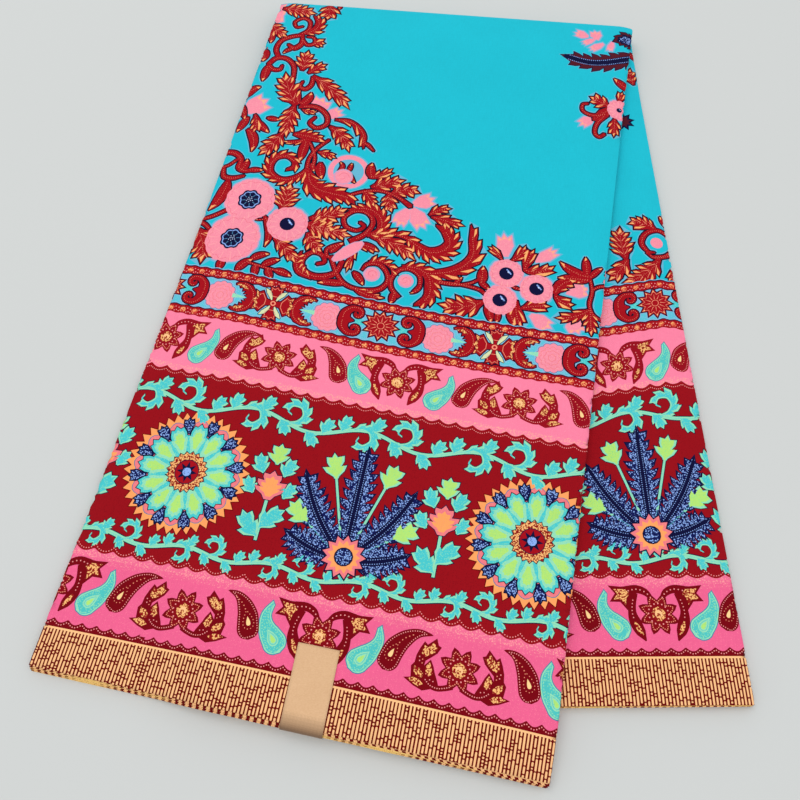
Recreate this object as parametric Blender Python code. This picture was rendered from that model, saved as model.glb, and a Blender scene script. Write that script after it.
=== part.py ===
"""A six yard length of printed cotton cloth, folded for the shop.

The length is lapped into a flat strip with a printed selvage at each end, and the strip is
folded once across its middle. The front leg lies on the back leg and swings to the left, so
the back leg shows at the right. Metres, +Z up, the viewer stands on the -Y side.

Every surface comes from one map: S runs across the strip from 0 (left) to 1 (right), T runs
along it, and H is the height inside the stack of laps.
"""
import math

import bpy
import numpy as np

# Driving dimensions
STRIP_WIDTH = 0.315  # one lap, side fold to side fold
FRONT_EDGE = 0.579  # left edge of the front leg, top fold to selvage
BACK_EDGE = 0.563  # right edge of the back leg, top fold to selvage
FRONT_TURN = math.radians(8.1)  # lean of the front leg's edges from +Y
BACK_TURN = math.radians(-3.9)
FOLD_TURN = math.radians(0.9)  # lean of the top fold's normal from +Y
CLOTH = 0.0012  # the wall that stands for one pressed lap
GAP = 0.0003  # between pieces that touch
STACK_AT_SELVAGE = 0.0048  # hidden laps of one leg, pressed flat
STACK_AT_FOLD = 0.0064  # the same laps where the top fold springs them apart
STACK_FADE = 0.30  # distance over which the spring dies out
FOLD_INNER_RADIUS = 0.0009  # inside of the top fold, round the back panel's end
BUNDLES = 5  # groups of laps that show along the edges

# Soft edges and the drape of one leg over the other
EDGE_FALL = 0.014  # how far in from a side fold the top starts to round off
EDGE_DROP = 0.26  # share of the height lost at a side fold
END_FALL = 0.009  # the same at a selvage
END_DROP = 0.14
ROUNDING_TURNS = 0.030  # past the fold, the rounding moves from the outer face to the top
TUCK_END = 0.016  # how far the front panel runs on under the back leg
TUCK_FLAT = 0.022  # the hidden laps stay lifted over the tuck this far
TUCK_FADE = 0.052  # then sink to the floor over this distance
DRAPE_START = 0.005  # the front leg leaves the back leg this far past its edge
DRAPE_LENGTH = 0.055  # and reaches the floor over this distance
SWELL = 0.0007  # height of the soft swells in a leg's top
SWELL_RATES = {"long": (5.1, 2.3), "short": (-3.9, 7.7)}  # radians along and across the leg
SWELL_PHASE = {"front": 0.0, "back": 1.7}

# Ragged edges of the bundles
GROOVE = 0.0010  # depth of the groove between two bundles
FACE_SETBACK = 0.0012  # the top and bottom faces end this far behind the edge
WANDER_LENGTHS = (0.037, 0.11)  # a bundle's edge wanders on these two scales
BUNDLE_TURN = 2.4  # radians from one bundle's setback to the next one's
SIDE_RUNS = {"front": 0.0, "fold": 0.3, "back": 0.5}  # where each stretch starts along a side edge
RIGHT_SIDE_RUN = 0.23  # the right side edge is read this far along from the left one
SIDE_STEP = 0.0005  # mean setback of a bundle at a side fold
SIDE_WAVE = 0.0004  # and how far it wanders
FRONT_STEP = 0.00065  # setback of each higher bundle at the front selvage
FRONT_WAVE = 0.0004
FRONT_NARROWING = 0.55  # share of that step lost on the way to the right corner
BACK_STEP = 0.0003
FRONT_PANEL_SETBACK = 0.0030  # the front panel's selvage behind the lowest lap
BACK_PANEL_SETBACK = 0.0008
BACK_PANEL_START = 0.0035  # the back panel's hidden end, this far from the fold's axis
WALL_SETBACK = 0.0001  # a panel's side edges behind the side folds
WALL_ROUNDING = 0.0004  # its faces end this far behind the middle of its edge

# Blank label, folded over the front selvage
LABEL_AT = 0.535  # across the strip, middle of the label
LABEL_WIDTH = 0.0255
LABEL_LENGTH = 0.0485
LABEL_LEAN = math.radians(1.2)
LABEL_THICKNESS = 0.0004
LABEL_OVERHANG = 0.0012  # how far its fold stands off the selvage
LABEL_REACH = 0.12  # its folded end stops at this share of the stack's height

# Resolution
COLUMNS = 20
COLUMN_CROWDING = 0.0455  # how far the columns crowd towards the side folds
FRONT_ROWS = 22
FOLD_ROWS = 8
BACK_ROWS = 20
TUCK_ROWS = 3
ROW_CROWDING = 0.7  # from 0 to 1, how far rows crowd together at the fold and the selvages
LABEL_COLUMNS = 3
LABEL_ROWS = 7
SHARP_ANGLE = math.radians(50)
SOLVER_STEPS = 4  # rounds that place a point on the back leg

# Colours, and how rough cloth and paper are
TURQUOISE = (0.018, 0.565, 0.686)
CREAM = (0.78, 0.52, 0.30)
MAROON = (0.38, 0.012, 0.030)
KRAFT = (0.36, 0.22, 0.11)
CLOTH_ROUGHNESS = 0.87
PAPER_ROUGHNESS = 0.6


def along(turn):
    return np.array([math.sin(turn), math.cos(turn)])


def across(turn):
    return np.array([math.cos(turn), -math.sin(turn)])


def smooth(value):
    value = np.clip(value, 0.0, 1.0)
    return value * value * (3.0 - 2.0 * value)


# Corners of the two legs in plan
STACK_RADIUS = FOLD_INNER_RADIUS + STACK_AT_FOLD
OUTER_RADIUS = STACK_RADIUS + GAP + CLOTH
FOLD_LENGTH = STRIP_WIDTH / math.cos((FRONT_TURN - BACK_TURN) / 2)
FOLD_NORMAL = along(FOLD_TURN)
FOLD_LEFT = np.array([0.0, 0.0])
FOLD_RIGHT = FOLD_LEFT + FOLD_LENGTH * across(FOLD_TURN)
FRONT_LEFT = FOLD_LEFT - FRONT_EDGE * along(FRONT_TURN)
FRONT_RIGHT = FRONT_LEFT + STRIP_WIDTH * across(FRONT_TURN)
BACK_RIGHT = FOLD_RIGHT - BACK_EDGE * along(BACK_TURN)
BACK_LEFT = BACK_RIGHT - STRIP_WIDTH * across(BACK_TURN)
AXIS_LEFT = FOLD_LEFT - OUTER_RADIUS * FOLD_NORMAL
AXIS_RIGHT = FOLD_RIGHT - OUTER_RADIUS * FOLD_NORMAL
LEG_ENDS = {"front": (FRONT_LEFT, FRONT_RIGHT), "back": (BACK_LEFT, BACK_RIGHT)}
AXIS_HEIGHT = GAP + CLOTH + STACK_RADIUS


def plan(leg, s, t):
    """Place in plan, with t from 0 at the fold's axis to 1 at the selvage."""
    s = np.asarray(s, float)[..., None]
    t = np.asarray(t, float)[..., None]
    left, right = LEG_ENDS[leg]
    near_fold = AXIS_LEFT + (AXIS_RIGHT - AXIS_LEFT) * s
    near_end = left + (right - left) * s
    return near_fold + (near_end - near_fold) * t


def from_axis(place):
    return -((place - AXIS_LEFT) @ FOLD_NORMAL)


def stack_height(distance):
    spring = (1.0 - smooth(distance / STACK_FADE)) ** 2
    return STACK_AT_SELVAGE + (STACK_AT_FOLD - STACK_AT_SELVAGE) * spring


def tuck_lift(distance):
    return (CLOTH + GAP) * (1.0 - smooth((distance - TUCK_FLAT) / TUCK_FADE))


def drape(place):
    """1 where the front leg lies on the back leg, 0 where it has reached the floor."""
    side = BACK_LEFT - AXIS_LEFT
    side = side / np.linalg.norm(side)
    past_side = (place - AXIS_LEFT) @ np.array([side[1], -side[0]])
    past_end = (place - BACK_LEFT) @ -along(BACK_TURN)
    off_side = smooth((past_side - DRAPE_START) / DRAPE_LENGTH)
    off_end = smooth((past_end - DRAPE_START) / DRAPE_LENGTH)
    return (1.0 - off_side) * (1.0 - off_end)


def back_place(place):
    """The back leg's own s and t under a place in plan, kept on the leg."""
    s = np.full(place.shape[:-1], 0.5)
    for _ in range(SOLVER_STEPS):
        near_fold = AXIS_LEFT + (AXIS_RIGHT - AXIS_LEFT) * s[..., None]
        near_end = BACK_LEFT + (BACK_RIGHT - BACK_LEFT) * s[..., None]
        run = near_end - near_fold
        t = np.sum((place - near_fold) * run, -1) / np.sum(run * run, -1)
        left = AXIS_LEFT + (BACK_LEFT - AXIS_LEFT) * t[..., None]
        width = AXIS_RIGHT + (BACK_RIGHT - AXIS_RIGHT) * t[..., None] - left
        s = np.sum((place - left) * width, -1) / np.sum(width * width, -1)
    return np.clip(s, 0.0, 1.0), np.clip(t, 0.0, 1.0)


def front_base(place):
    distance = from_axis(place)
    below = tuck_lift(distance) + stack_height(distance) + swell("back", *back_place(place))
    return drape(place) * (below + CLOTH + 2 * GAP)


def crown(s, t):
    """Share of the height that is left near the side folds and the selvage."""
    from_side = np.minimum(s, 1.0 - s) * STRIP_WIDTH
    from_end = (1.0 - t) * FRONT_EDGE
    side = EDGE_DROP * np.clip(1.0 - from_side / EDGE_FALL, 0.0, 1.0) ** 2
    end = END_DROP * np.clip(1.0 - from_end / END_FALL, 0.0, 1.0) ** 2
    return 1.0 - side - end


def swell(leg, s, t):
    """Soft uneven swells, none at the fold, the selvage or the sides."""
    phase = SWELL_PHASE[leg]
    inside = np.sin(math.pi * s) * np.sin(math.pi * np.clip(t, 0.0, 1.0))
    wave = 0.0
    for share, rates in zip((1.0, 0.6), SWELL_RATES.values()):
        wave = wave + share * np.sin(rates[0] * t + rates[1] * s + phase / share)
    return SWELL * inside * wave


def leg_point(leg, s, t, level, lift=0.0):
    """level is the share of the stack's height from its inner face, lift is added outside it."""
    place = plan(leg, s, t)
    distance = from_axis(place)
    full = stack_height(distance)
    drop = full * (1.0 - crown(s, t))
    if leg == "front":
        z = front_base(place) + level * (full - drop + swell(leg, s, t)) + lift
    else:
        # Round the fold the rounding lies on the outer face, further on it lies on top
        turned = smooth(distance / ROUNDING_TURNS)
        top = tuck_lift(distance) + full - drop * turned + swell(leg, s, t)
        bottom = tuck_lift(distance) + drop * (1.0 - turned)
        z = top - level * (top - bottom) - lift
    return np.concatenate([place, np.asarray(z)[..., None]], -1)


def fold_point(s, angle, level, lift=0.0):
    """angle runs from 0 on top of the fold to pi under it."""
    s, angle = np.broadcast_arrays(np.asarray(s, float), np.asarray(angle, float))
    zero = np.zeros_like(s)
    radius = FOLD_INNER_RADIUS + level * STACK_AT_FOLD * crown(s, zero) + lift
    plan_axis = AXIS_LEFT + (AXIS_RIGHT - AXIS_LEFT) * s[..., None]
    place = plan_axis + FOLD_NORMAL * (radius * np.sin(angle))[..., None]
    z = AXIS_HEIGHT + radius * np.cos(angle)
    return np.concatenate([place, z[..., None]], -1)


def column_places():
    """Columns across the strip, closer together at the two side folds."""
    even = np.linspace(0.0, 1.0, COLUMNS + 1)
    return even - COLUMN_CROWDING * np.sin(2 * math.pi * even)


def leg_rows(count):
    """Rows from the first one past the fold's axis to the selvage, at 1."""
    rows = []
    for i in range(1, count):
        even = i / count
        crowded = 0.5 - 0.5 * math.cos(math.pi * even)
        rows.append(even + ROW_CROWDING * (crowded - even))
    return rows + [1.0]


def path_over_fold():
    """Rows from the front selvage up and round the top fold."""
    path = [("front", t) for t in reversed(leg_rows(FRONT_ROWS))]
    path += [("fold", math.pi * i / FOLD_ROWS) for i in range(FOLD_ROWS + 1)]
    return path


COLUMN_PLACES = column_places()


def ragged(k, step, wave, run):
    """Setback of the edge at level k, at the distance run along that edge.

    Odd levels lie on the crest of a bundle, even ones in the groove between two.
    """
    if k in (0, 2 * BUNDLES):
        return FACE_SETBACK
    bundle = k // 2
    crest = step * (1.0 + math.sin(BUNDLE_TURN * bundle + 1.0))
    short, long = WANDER_LENGTHS
    crest += wave * math.sin(run / short + 2.0 * bundle) * math.sin(run / long + bundle)
    return max(crest, 0.0) + (GROOVE if k % 2 == 0 else 0.0)


def end_setback(leg, k, s):
    """How far level k of the hidden laps stops short of the selvage line."""
    run = s * STRIP_WIDTH
    if leg == "back":
        return ragged(k, BACK_STEP, SIDE_WAVE, run)
    higher = FRONT_STEP * min(k // 2, BUNDLES - 1) * (1.0 - FRONT_NARROWING * s)
    return ragged(k, 0.0, FRONT_WAVE, run) + higher


def drawn_in(column, setback):
    """S of a column, with the two outermost ones set back from the side folds."""
    if column == 0:
        return np.asarray(setback / STRIP_WIDTH)
    if column == COLUMNS:
        return np.asarray(1.0 - setback / STRIP_WIDTH)
    return np.asarray(COLUMN_PLACES[column])


def short_of(leg, t, setback):
    """T of a row, with the one at the selvage set back from it."""
    if t < 1.0:
        return t
    return 1.0 - setback / (FRONT_EDGE if leg == "front" else BACK_EDGE)


def stack_point(k, row, column):
    """One point of the hidden laps at level k, with the sides and ends drawn in."""
    stretch, along_it = row
    run = along_it * (OUTER_RADIUS if stretch == "fold" else FRONT_EDGE) + SIDE_RUNS[stretch]
    run += RIGHT_SIDE_RUN * (column > 0)
    s = drawn_in(column, ragged(k, SIDE_STEP, SIDE_WAVE, run))
    level = k / (2 * BUNDLES)
    if stretch == "fold":
        return fold_point(s, along_it, level)
    t = short_of(stretch, along_it, end_setback(stretch, k, s))
    return leg_point(stretch, s, t, level)


def make_object(name, points, faces, colour, roughness):
    mesh = bpy.data.meshes.new(name)
    mesh.from_pydata([tuple(p) for p in points], [], faces)
    mesh.validate()
    mesh.update()
    mesh.shade_smooth()
    mesh.set_sharp_from_angle(angle=SHARP_ANGLE)
    material = bpy.data.materials.new(name)
    material.use_nodes = True
    shader = material.node_tree.nodes["Principled BSDF"]
    shader.inputs["Base Color"].default_value = (*colour, 1.0)
    shader.inputs["Roughness"].default_value = roughness
    shader.inputs["Metallic"].default_value = 0.0
    mesh.materials.append(material)
    piece = bpy.data.objects.new(name, mesh)
    bpy.context.scene.collection.objects.link(piece)
    return piece


def grid_faces(first, rows, columns, flip):
    """Triangles split the same way in every grid, so that facing grids keep their gap."""
    faces = []
    for i in range(rows - 1):
        for j in range(columns - 1):
            a = first + i * columns + j
            b = a + columns
            for triangle in ((a, a + 1, b + 1), (a, b + 1, b)):
                faces.append(triangle[::-1] if flip else triangle)
    return faces


def border(rows, columns):
    """Grid places round the border: left side down the path, then back along the right."""
    ring = [(i, 0) for i in range(rows)]
    ring += [(rows - 1, j) for j in range(1, columns)]
    ring += [(i, columns - 1) for i in range(rows - 2, -1, -1)]
    ring += [(0, j) for j in range(columns - 2, 0, -1)]
    return ring


def solid_from_levels(name, rows, columns, place, levels, colour, roughness):
    """A closed solid: a grid at the first and the last level, rings of points between them.

    place(k, i, j) gives the point of level k at row i and column j.
    """
    points = [place(levels[0], i, j) for i in range(rows) for j in range(columns)]
    top_start = len(points)
    points += [place(levels[-1], i, j) for i in range(rows) for j in range(columns)]
    ring = border(rows, columns)
    rings = [[i * columns + j for i, j in ring]]
    for k in levels[1:-1]:
        rings.append(list(range(len(points), len(points) + len(ring))))
        points += [place(k, i, j) for i, j in ring]
    rings.append([top_start + i * columns + j for i, j in ring])
    faces = grid_faces(0, rows, columns, True) + grid_faces(top_start, rows, columns, False)
    for low, high in zip(rings[:-1], rings[1:]):
        for a in range(len(ring)):
            b = (a + 1) % len(ring)
            faces.append((low[a], high[a], high[b], low[b]))
    if inside_out(points, faces):
        faces = [face[::-1] for face in faces]
    return make_object(name, points, faces, colour, roughness)


def inside_out(points, faces):
    volume = 0.0
    for face in faces:
        for b, c in zip(face[1:-1], face[2:]):
            volume += np.dot(points[face[0]], np.cross(points[b], points[c]))
    return volume < 0.0


def folded_layers():
    """All the hidden laps of both legs, joined round the top fold."""
    path = path_over_fold() + [("back", t) for t in leg_rows(BACK_ROWS)]

    def place(k, i, j):
        return stack_point(k, path[i], j)

    levels = list(range(2 * BUNDLES + 1))
    return solid_from_levels("folded_layers", len(path), COLUMNS + 1, place, levels, CREAM, CLOTH_ROUGHNESS)


def wall(name, path, selvage_setback, colour):
    """One lap as a wall on the stack; its middle level stands out to make a round edge."""

    def place(k, i, j):
        stretch, along_it = path[i]
        rounding = 0.0 if k == 1 else WALL_ROUNDING
        s = drawn_in(j, WALL_SETBACK + rounding)
        lift = GAP + 0.5 * k * CLOTH
        if stretch == "fold":
            return fold_point(s, along_it, 1.0, lift)
        t = short_of(stretch, along_it, selvage_setback + rounding)
        if stretch == "back top":
            return leg_point("back", s, t, 0.0, -lift)
        return leg_point(stretch, s, t, 1.0, lift)

    return solid_from_levels(name, len(path), COLUMNS + 1, place, [0, 1, 2], colour, CLOTH_ROUGHNESS)


def front_panel():
    """The outermost lap of the front leg, carried over the top fold and tucked under it."""
    tuck = [("back", TUCK_END / BACK_EDGE * (i + 1) / TUCK_ROWS) for i in range(TUCK_ROWS)]
    return wall("front_panel", path_over_fold() + tuck, FRONT_PANEL_SETBACK, TURQUOISE)


def back_panel():
    """The top lap of the back leg, which runs on under the front leg up to the fold."""
    rows = [BACK_PANEL_START / BACK_EDGE] + leg_rows(BACK_ROWS)
    return wall("back_panel", [("back top", t) for t in rows], BACK_PANEL_SETBACK, MAROON)


def label():
    """A plain paper label laid on the front panel and folded down over the selvage."""

    def place(k, i, j):
        side = (j / LABEL_COLUMNS - 0.5) * LABEL_WIDTH
        outward = LABEL_THICKNESS * k
        lift = GAP + CLOTH + GAP + outward
        run = LABEL_LENGTH * max(0.0, 1.0 - i / LABEL_ROWS) + FRONT_PANEL_SETBACK
        s = LABEL_AT + (side - math.tan(LABEL_LEAN) * run) / STRIP_WIDTH
        if i < LABEL_ROWS:
            return leg_point("front", s, 1.0 - run / FRONT_EDGE, 1.0, lift)
        folded = i > LABEL_ROWS
        point = leg_point("front", s, 1.0, LABEL_REACH if folded else 1.0, 0.0 if folded else lift)
        point[:2] -= along(FRONT_TURN) * (LABEL_OVERHANG + outward)
        return point

    rows = LABEL_ROWS + 2
    return solid_from_levels("label", rows, LABEL_COLUMNS + 1, place, [0, 1], KRAFT, PAPER_ROUGHNESS)


def centre_on_footprint(pieces):
    """Move every mesh so that the origin lies under the middle of the whole."""
    corners = np.array([v.co for piece in pieces for v in piece.data.vertices])
    low, high = corners.min(0), corners.max(0)
    shift = (low + high) / 2
    shift[2] = low[2]
    for piece in pieces:
        for vertex in piece.data.vertices:
            vertex.co = np.array(vertex.co) - shift
        piece.data.update()


for leftover in list(bpy.data.objects):
    bpy.data.objects.remove(leftover)

centre_on_footprint([folded_layers(), front_panel(), back_panel(), label()])
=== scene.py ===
"""Folded length of printed cotton: the print, the finish and the fine form of every lap."""
import math
import random

import bpy
import numpy as np
from mathutils import Matrix, Vector
from mathutils.geometry import delaunay_2d_cdt


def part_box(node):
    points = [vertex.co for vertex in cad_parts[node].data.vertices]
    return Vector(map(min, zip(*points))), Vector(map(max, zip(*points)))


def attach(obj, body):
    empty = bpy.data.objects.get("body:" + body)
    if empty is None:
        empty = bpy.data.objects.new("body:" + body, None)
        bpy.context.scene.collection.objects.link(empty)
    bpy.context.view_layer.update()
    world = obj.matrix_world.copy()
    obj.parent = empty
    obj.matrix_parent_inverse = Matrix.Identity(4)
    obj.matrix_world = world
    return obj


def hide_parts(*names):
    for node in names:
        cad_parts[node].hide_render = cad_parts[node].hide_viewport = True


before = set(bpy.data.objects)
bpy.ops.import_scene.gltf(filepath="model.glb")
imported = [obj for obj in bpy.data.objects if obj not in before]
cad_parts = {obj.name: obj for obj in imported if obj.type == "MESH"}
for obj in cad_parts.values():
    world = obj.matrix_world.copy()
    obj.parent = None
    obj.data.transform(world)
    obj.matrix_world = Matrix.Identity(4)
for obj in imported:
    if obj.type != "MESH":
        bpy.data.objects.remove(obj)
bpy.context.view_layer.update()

# Print: inks
def linear(*channels):
    """A screen colour, each channel from 0 to 255, as linear light."""
    return tuple((c / 255 / 12.92 if c <= 10 else ((c / 255 + 0.055) / 1.055) ** 2.4) for c in channels)


INKS = {  # name: red, green and blue, then those of its specks and the share that the specks cover
    "turquoise": (30, 190, 210),
    "strip turquoise": (92, 196, 216, 150, 190, 226, 0.22),
    "maroon": (166, 12, 26, 140, 6, 22, 0.14),
    "band maroon": (152, 12, 24, 134, 8, 22, 0.18),
    "dark maroon": (122, 2, 17),
    "mid maroon": (136, 7, 21),
    "red maroon": (150, 10, 28),
    "ground maroon": (108, 6, 6),
    "gold": (255, 198, 140),
    "pale gold": (255, 214, 150),
    "tip gold": (252, 180, 112, 226, 110, 76, 0.20),
    "cream": (214, 226, 178),
    "salmon": (248, 150, 120),
    "rose dot": (250, 158, 156),
    "pink": (241, 100, 146, 255, 130, 158, 0.12),
    "dotted pink": (242, 104, 147, 255, 150, 160, 0.22),
    "flecked pink": (244, 112, 150, 255, 160, 162, 0.38),
    "light pink": (252, 132, 164, 255, 152, 174, 0.10),
    "flecked light pink": (252, 136, 164, 255, 170, 158, 0.42),
    "soft pink": (247, 144, 165, 252, 164, 174, 0.24),
    "aqua": (74, 202, 206, 128, 218, 192, 0.30),
    "aqua lime": (152, 224, 184, 112, 212, 198, 0.25),
    "sea": (80, 198, 194, 136, 218, 180, 0.34),
    "lime": (180, 230, 118, 130, 222, 150, 0.16),
    "slate": (72, 126, 164),
    "lavender": (146, 184, 222),
    "navy": (12, 14, 56),
    "line": (26, 9, 34),
    "stippled navy": (14, 22, 82, 146, 182, 246, 0.50),
    "periwinkle": (140, 176, 244, 16, 26, 88, 0.22),
    "stippled gold": (146, 20, 22, 252, 190, 120, 0.76),
    "orange": (255, 166, 98, 250, 140, 120, 0.10),
    "coral": (240, 124, 134, 255, 150, 120, 0.20),
    "petal line": (236, 120, 140, 252, 164, 164, 0.30),
    "salmon pink": (255, 166, 172),
    "brown": (84, 22, 36),
    "leaf maroon": (164, 10, 26, 232, 110, 84, 0.07),
    "bleed": (104, 182, 212),
    "blush": (206, 158, 190, 252, 140, 164, 0.30),
    "peach": (255, 176, 140, 255, 150, 165, 0.25),
    "pale blue": (190, 212, 250),
    "selvage": (250, 206, 122, 176, 58, 46, 0.14),
    "link": (206, 66, 52, 252, 176, 118, 0.50),
    "crumbs": (254, 196, 138, 134, 24, 26, 0.14),
}


# Print: outlines, in millimetres on the flat cloth; u runs across it, v runs from the selvage up to the fold.
# A shape is its ink, outline and layer. Higher layers cover lower ones, and later shapes cover earlier ones.
def curve(points, steps=5):
    """A smooth path through the points."""
    p = np.asarray(points, float)
    p = np.concatenate([[2 * p[0] - p[1]], p, [2 * p[-1] - p[-2]]])
    share = np.linspace(0.0, 1.0, steps, endpoint=False)[:, None]
    path = []
    for a, b, c, d in zip(p, p[1:], p[2:], p[3:]):
        cubic = 2 * a - 5 * b + 4 * c - d + share * (3 * (b - c) + d - a)
        path.append(b + 0.5 * share * (c - a + share * cubic))
    return np.concatenate(path + [p[-2:-1]])


def bow(base, tip, bend=0.0, steps=6):
    """A path from base to tip that bows to its left by this share of its length."""
    base, tip = np.asarray(base, float), np.asarray(tip, float)
    side = np.array([base[1] - tip[1], tip[0] - base[0]])
    share = np.linspace(0.0, 1.0, steps + 1)[:, None]
    return base + (tip - base) * share + side * bend * 4 * share * (1 - share)


def spiral(centre, start, turns, tight):
    """From start round the centre, winding in to this share of the first radius."""
    way = np.asarray(start, float) - centre
    share = np.linspace(0.0, 1.0, max(4, round(turns * 14)) + 1)
    angle = math.atan2(way[1], way[0]) + 2 * math.pi * turns * share
    reach = math.hypot(*way) * (1.0 + (tight - 1.0) * share)
    return centre + np.stack([np.cos(angle), np.sin(angle)], 1) * reach[:, None]


def run_of(path):
    """Share of the path's length at each of its points."""
    steps = np.hypot(*np.diff(path, axis=0).T)
    return np.concatenate([[0.0], np.cumsum(steps)]) / max(steps.sum(), 1e-9)


def side_points(path, share, offset):
    """Points at shares of the path's length, offset to its left."""
    run = run_of(path)
    x, y = (np.interp(share, run, path[:, k]) for k in (0, 1))
    way = np.gradient(path, axis=0)
    way /= np.maximum(np.hypot(*way.T), 1e-9)[:, None]
    dx, dy = (np.interp(share, run, way[:, k]) for k in (0, 1))
    long = np.hypot(dx, dy)
    return np.stack([x - dy / long * offset, y + dx / long * offset], 1)


def spread(widths, share):
    """Half the width at shares of a path, from widths at even steps along it."""
    return np.interp(share, np.linspace(0, 1, len(widths)), widths) / 2


def ribbon(path, widths):
    """The outline of a stroke, from widths at even steps along it."""
    path = np.asarray(path, float)
    share = run_of(path)
    half = spread(widths, share)
    return np.concatenate([side_points(path, share, -half), side_points(path, share, half)[::-1]])


def tube(path, half):
    """The outline of a path with this half width at each of its points."""
    share = run_of(path)
    return np.concatenate([side_points(path, share, -half), side_points(path, share, half)[-2:0:-1]])


def thinner(path, half, by):
    """The same shape set back from its edge, as an outline."""
    keep = half > by
    return tube(path[keep], half[keep] - by)


def teardrop(points, radius, shares=(1.0, 0.94, 0.70, 0.36, 0.04)):
    """Path and half width of a paisley: round at the first point and drawn out along the others."""
    path = curve(points, 6)
    first = path[0] - (path[1] - path[0]) / np.hypot(*(path[1] - path[0])) * radius
    path = np.concatenate([np.linspace(first, path[0], 7)[:-1], path])
    run = np.concatenate([[0.0], np.cumsum(np.hypot(*np.diff(path, axis=0).T))])
    round_end = radius * np.sqrt(np.clip(1 - (1 - run / radius) ** 2, 0, 1))
    past = np.clip((run - radius) / (run[-1] - radius), 0, 1)
    drawn_out = radius * np.interp(past, np.linspace(0, 1, len(shares)), shares)
    return path, np.where(run < radius, round_end, drawn_out)


def blade(path, widths, left=0, right=0, tooth=2.0, start=0.12, stop=0.88):
    """A leaf or an arm along a path with teeth that point to its tip, and the bright ends of the teeth.

    The widths are at even steps along the path and the teeth reach past them."""
    way = path[-1] - path[-2]
    end = path[-1] + way / np.hypot(*way) * spread(widths, 1.0) * 0.8
    sides, tips = [], []
    for side, teeth in ((-1, right), (1, left)):
        step = (stop - start) / max(teeth, 1)
        shares, reach = [0.0], [spread(widths, 0.0)]
        for i in range(teeth):
            notch = start + i * step
            swing = 0.4 * math.sin(math.pi * (i + 0.6) / teeth) + 0.15 * math.sin(2.7 * i + side)
            long = tooth * (0.75 + swing)
            places = [notch, notch + 0.5 * step, notch + step]
            shares += places[:2] + [notch + 1.08 * step]
            reach += list(spread(widths, places) + np.array([0.0, 0.66 * long, long]))
            bright = notch + step * np.array([0.30, 0.66, 1.04, 0.97])
            inset = spread(widths, bright) + long * np.array([-0.40, 0.52, 0.88, 0.36])
            tips.append(side_points(path, bright, side * inset))
        shares.append(stop)
        reach.append(spread(widths, stop))
        if not teeth:
            shares, reach = run_of(path), spread(widths, run_of(path))
        sides.append(side_points(path, np.array(shares), side * np.array(reach)))
    return np.concatenate([sides[0], [end], sides[1][::-1]]), tips


def grown(outline, by):
    """The outline moved outwards, with its corners kept short."""
    outline = np.asarray(outline, float)
    x, y = outline.T
    if np.sum(x * np.roll(y, -1) - y * np.roll(x, -1)) < 0:
        outline = outline[::-1]
    way = np.roll(outline, -1, 0) - outline
    way /= np.maximum(np.hypot(*way.T), 1e-9)[:, None]
    normal = np.stack([way[:, 1], -way[:, 0]], 1)
    before = np.roll(normal, 1, 0)
    cosine = np.sum(normal * before, 1)
    return outline + by * (normal + before) / np.maximum(1 + cosine, 0.45)[:, None]


def shrunk(outline, share, about=None):
    outline = np.asarray(outline, float)
    about = outline.mean(0) if about is None else np.asarray(about, float)
    return about + (outline - about) * share


def closed(outline):
    return np.concatenate([outline, outline[:1]])


def along(turn):
    """The direction at an angle clockwise from +v, and from +Y where the cloth lies."""
    return np.array([math.sin(turn), math.cos(turn)])


def polar(angle, reach):
    """Points round 0, 0 at angles clockwise from +v."""
    return reach[:, None] * np.stack([np.sin(angle), np.cos(angle)], 1)


def disc(radius, sides=12, centre=(0, 0)):
    angle = 2 * math.pi * (np.arange(sides) + 0.5) / sides
    return centre + radius * np.stack([np.cos(angle), np.sin(angle)], 1)


def lobed(radius, lobes, depth, steps=6, turn=0.0, power=1.0):
    """A closed edge of rounded lobes: depth is the share of the radius lost between two."""
    angle = 2 * math.pi * np.arange(lobes * steps) / (lobes * steps)
    swing = np.abs(np.cos(lobes * angle / 2)) ** power
    return polar(angle + turn, radius * (1 - depth + depth * swing))


def star(radius, points, inner, centre=(0, 0)):
    """A pointed star; inner is the share of the radius at its notches."""
    number = np.arange(2 * points)
    return centre + polar(math.pi * number / points, radius * np.where(number % 2 == 0, 1.0, inner))


# Print: shapes made of outlines
PRINT_LEFT, PRINT_RIGHT = -6.0, 321.0  # how far the print runs past the sides of the strip
BAND_STEPS = 66  # corners along one edge of a band


def wave(step, height, stop=PRINT_RIGHT):
    """A path across the cloth whose v is a function of u."""
    u = np.arange(PRINT_LEFT, stop + step / 2, step)
    return np.stack([u, height(u)], 1)


def under(path, floor):
    """The area between a path across the cloth and a level below or above it."""
    back = np.linspace(path[-1, 0], path[0, 0], BAND_STEPS)
    return np.concatenate([path, np.stack([back, 0 * back + floor], 1)])


def arches(period, phase, low, high):
    """Rounded sags at the low level that meet in points at the high one."""
    return lambda u: high + (low - high) * np.abs(np.sin(math.pi * (u - phase) / period))


def block(v0, v1):
    """A stretch of ground, with enough corners to bend."""
    u = np.linspace(PRINT_LEFT, PRINT_RIGHT, BAND_STEPS)
    return np.concatenate([np.stack([u, 0 * u + v0], 1), np.stack([u, 0 * u + v1], 1)[::-1]])


def dots(path, spacing, radius, ink, layer=0, sides=4):
    """A row of dots along a path."""
    path = np.asarray(path, float)
    count = max(1, int(np.hypot(*np.diff(path, axis=0).T).sum() / spacing))
    places = side_points(path, (np.arange(count) + 0.5) / count, 0.0)
    return [(ink, disc(radius, sides, place), layer) for place in places]


def ring(outline, width, ink, layer):
    return (ink, ribbon(closed(outline), (width, width)), layer)


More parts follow.
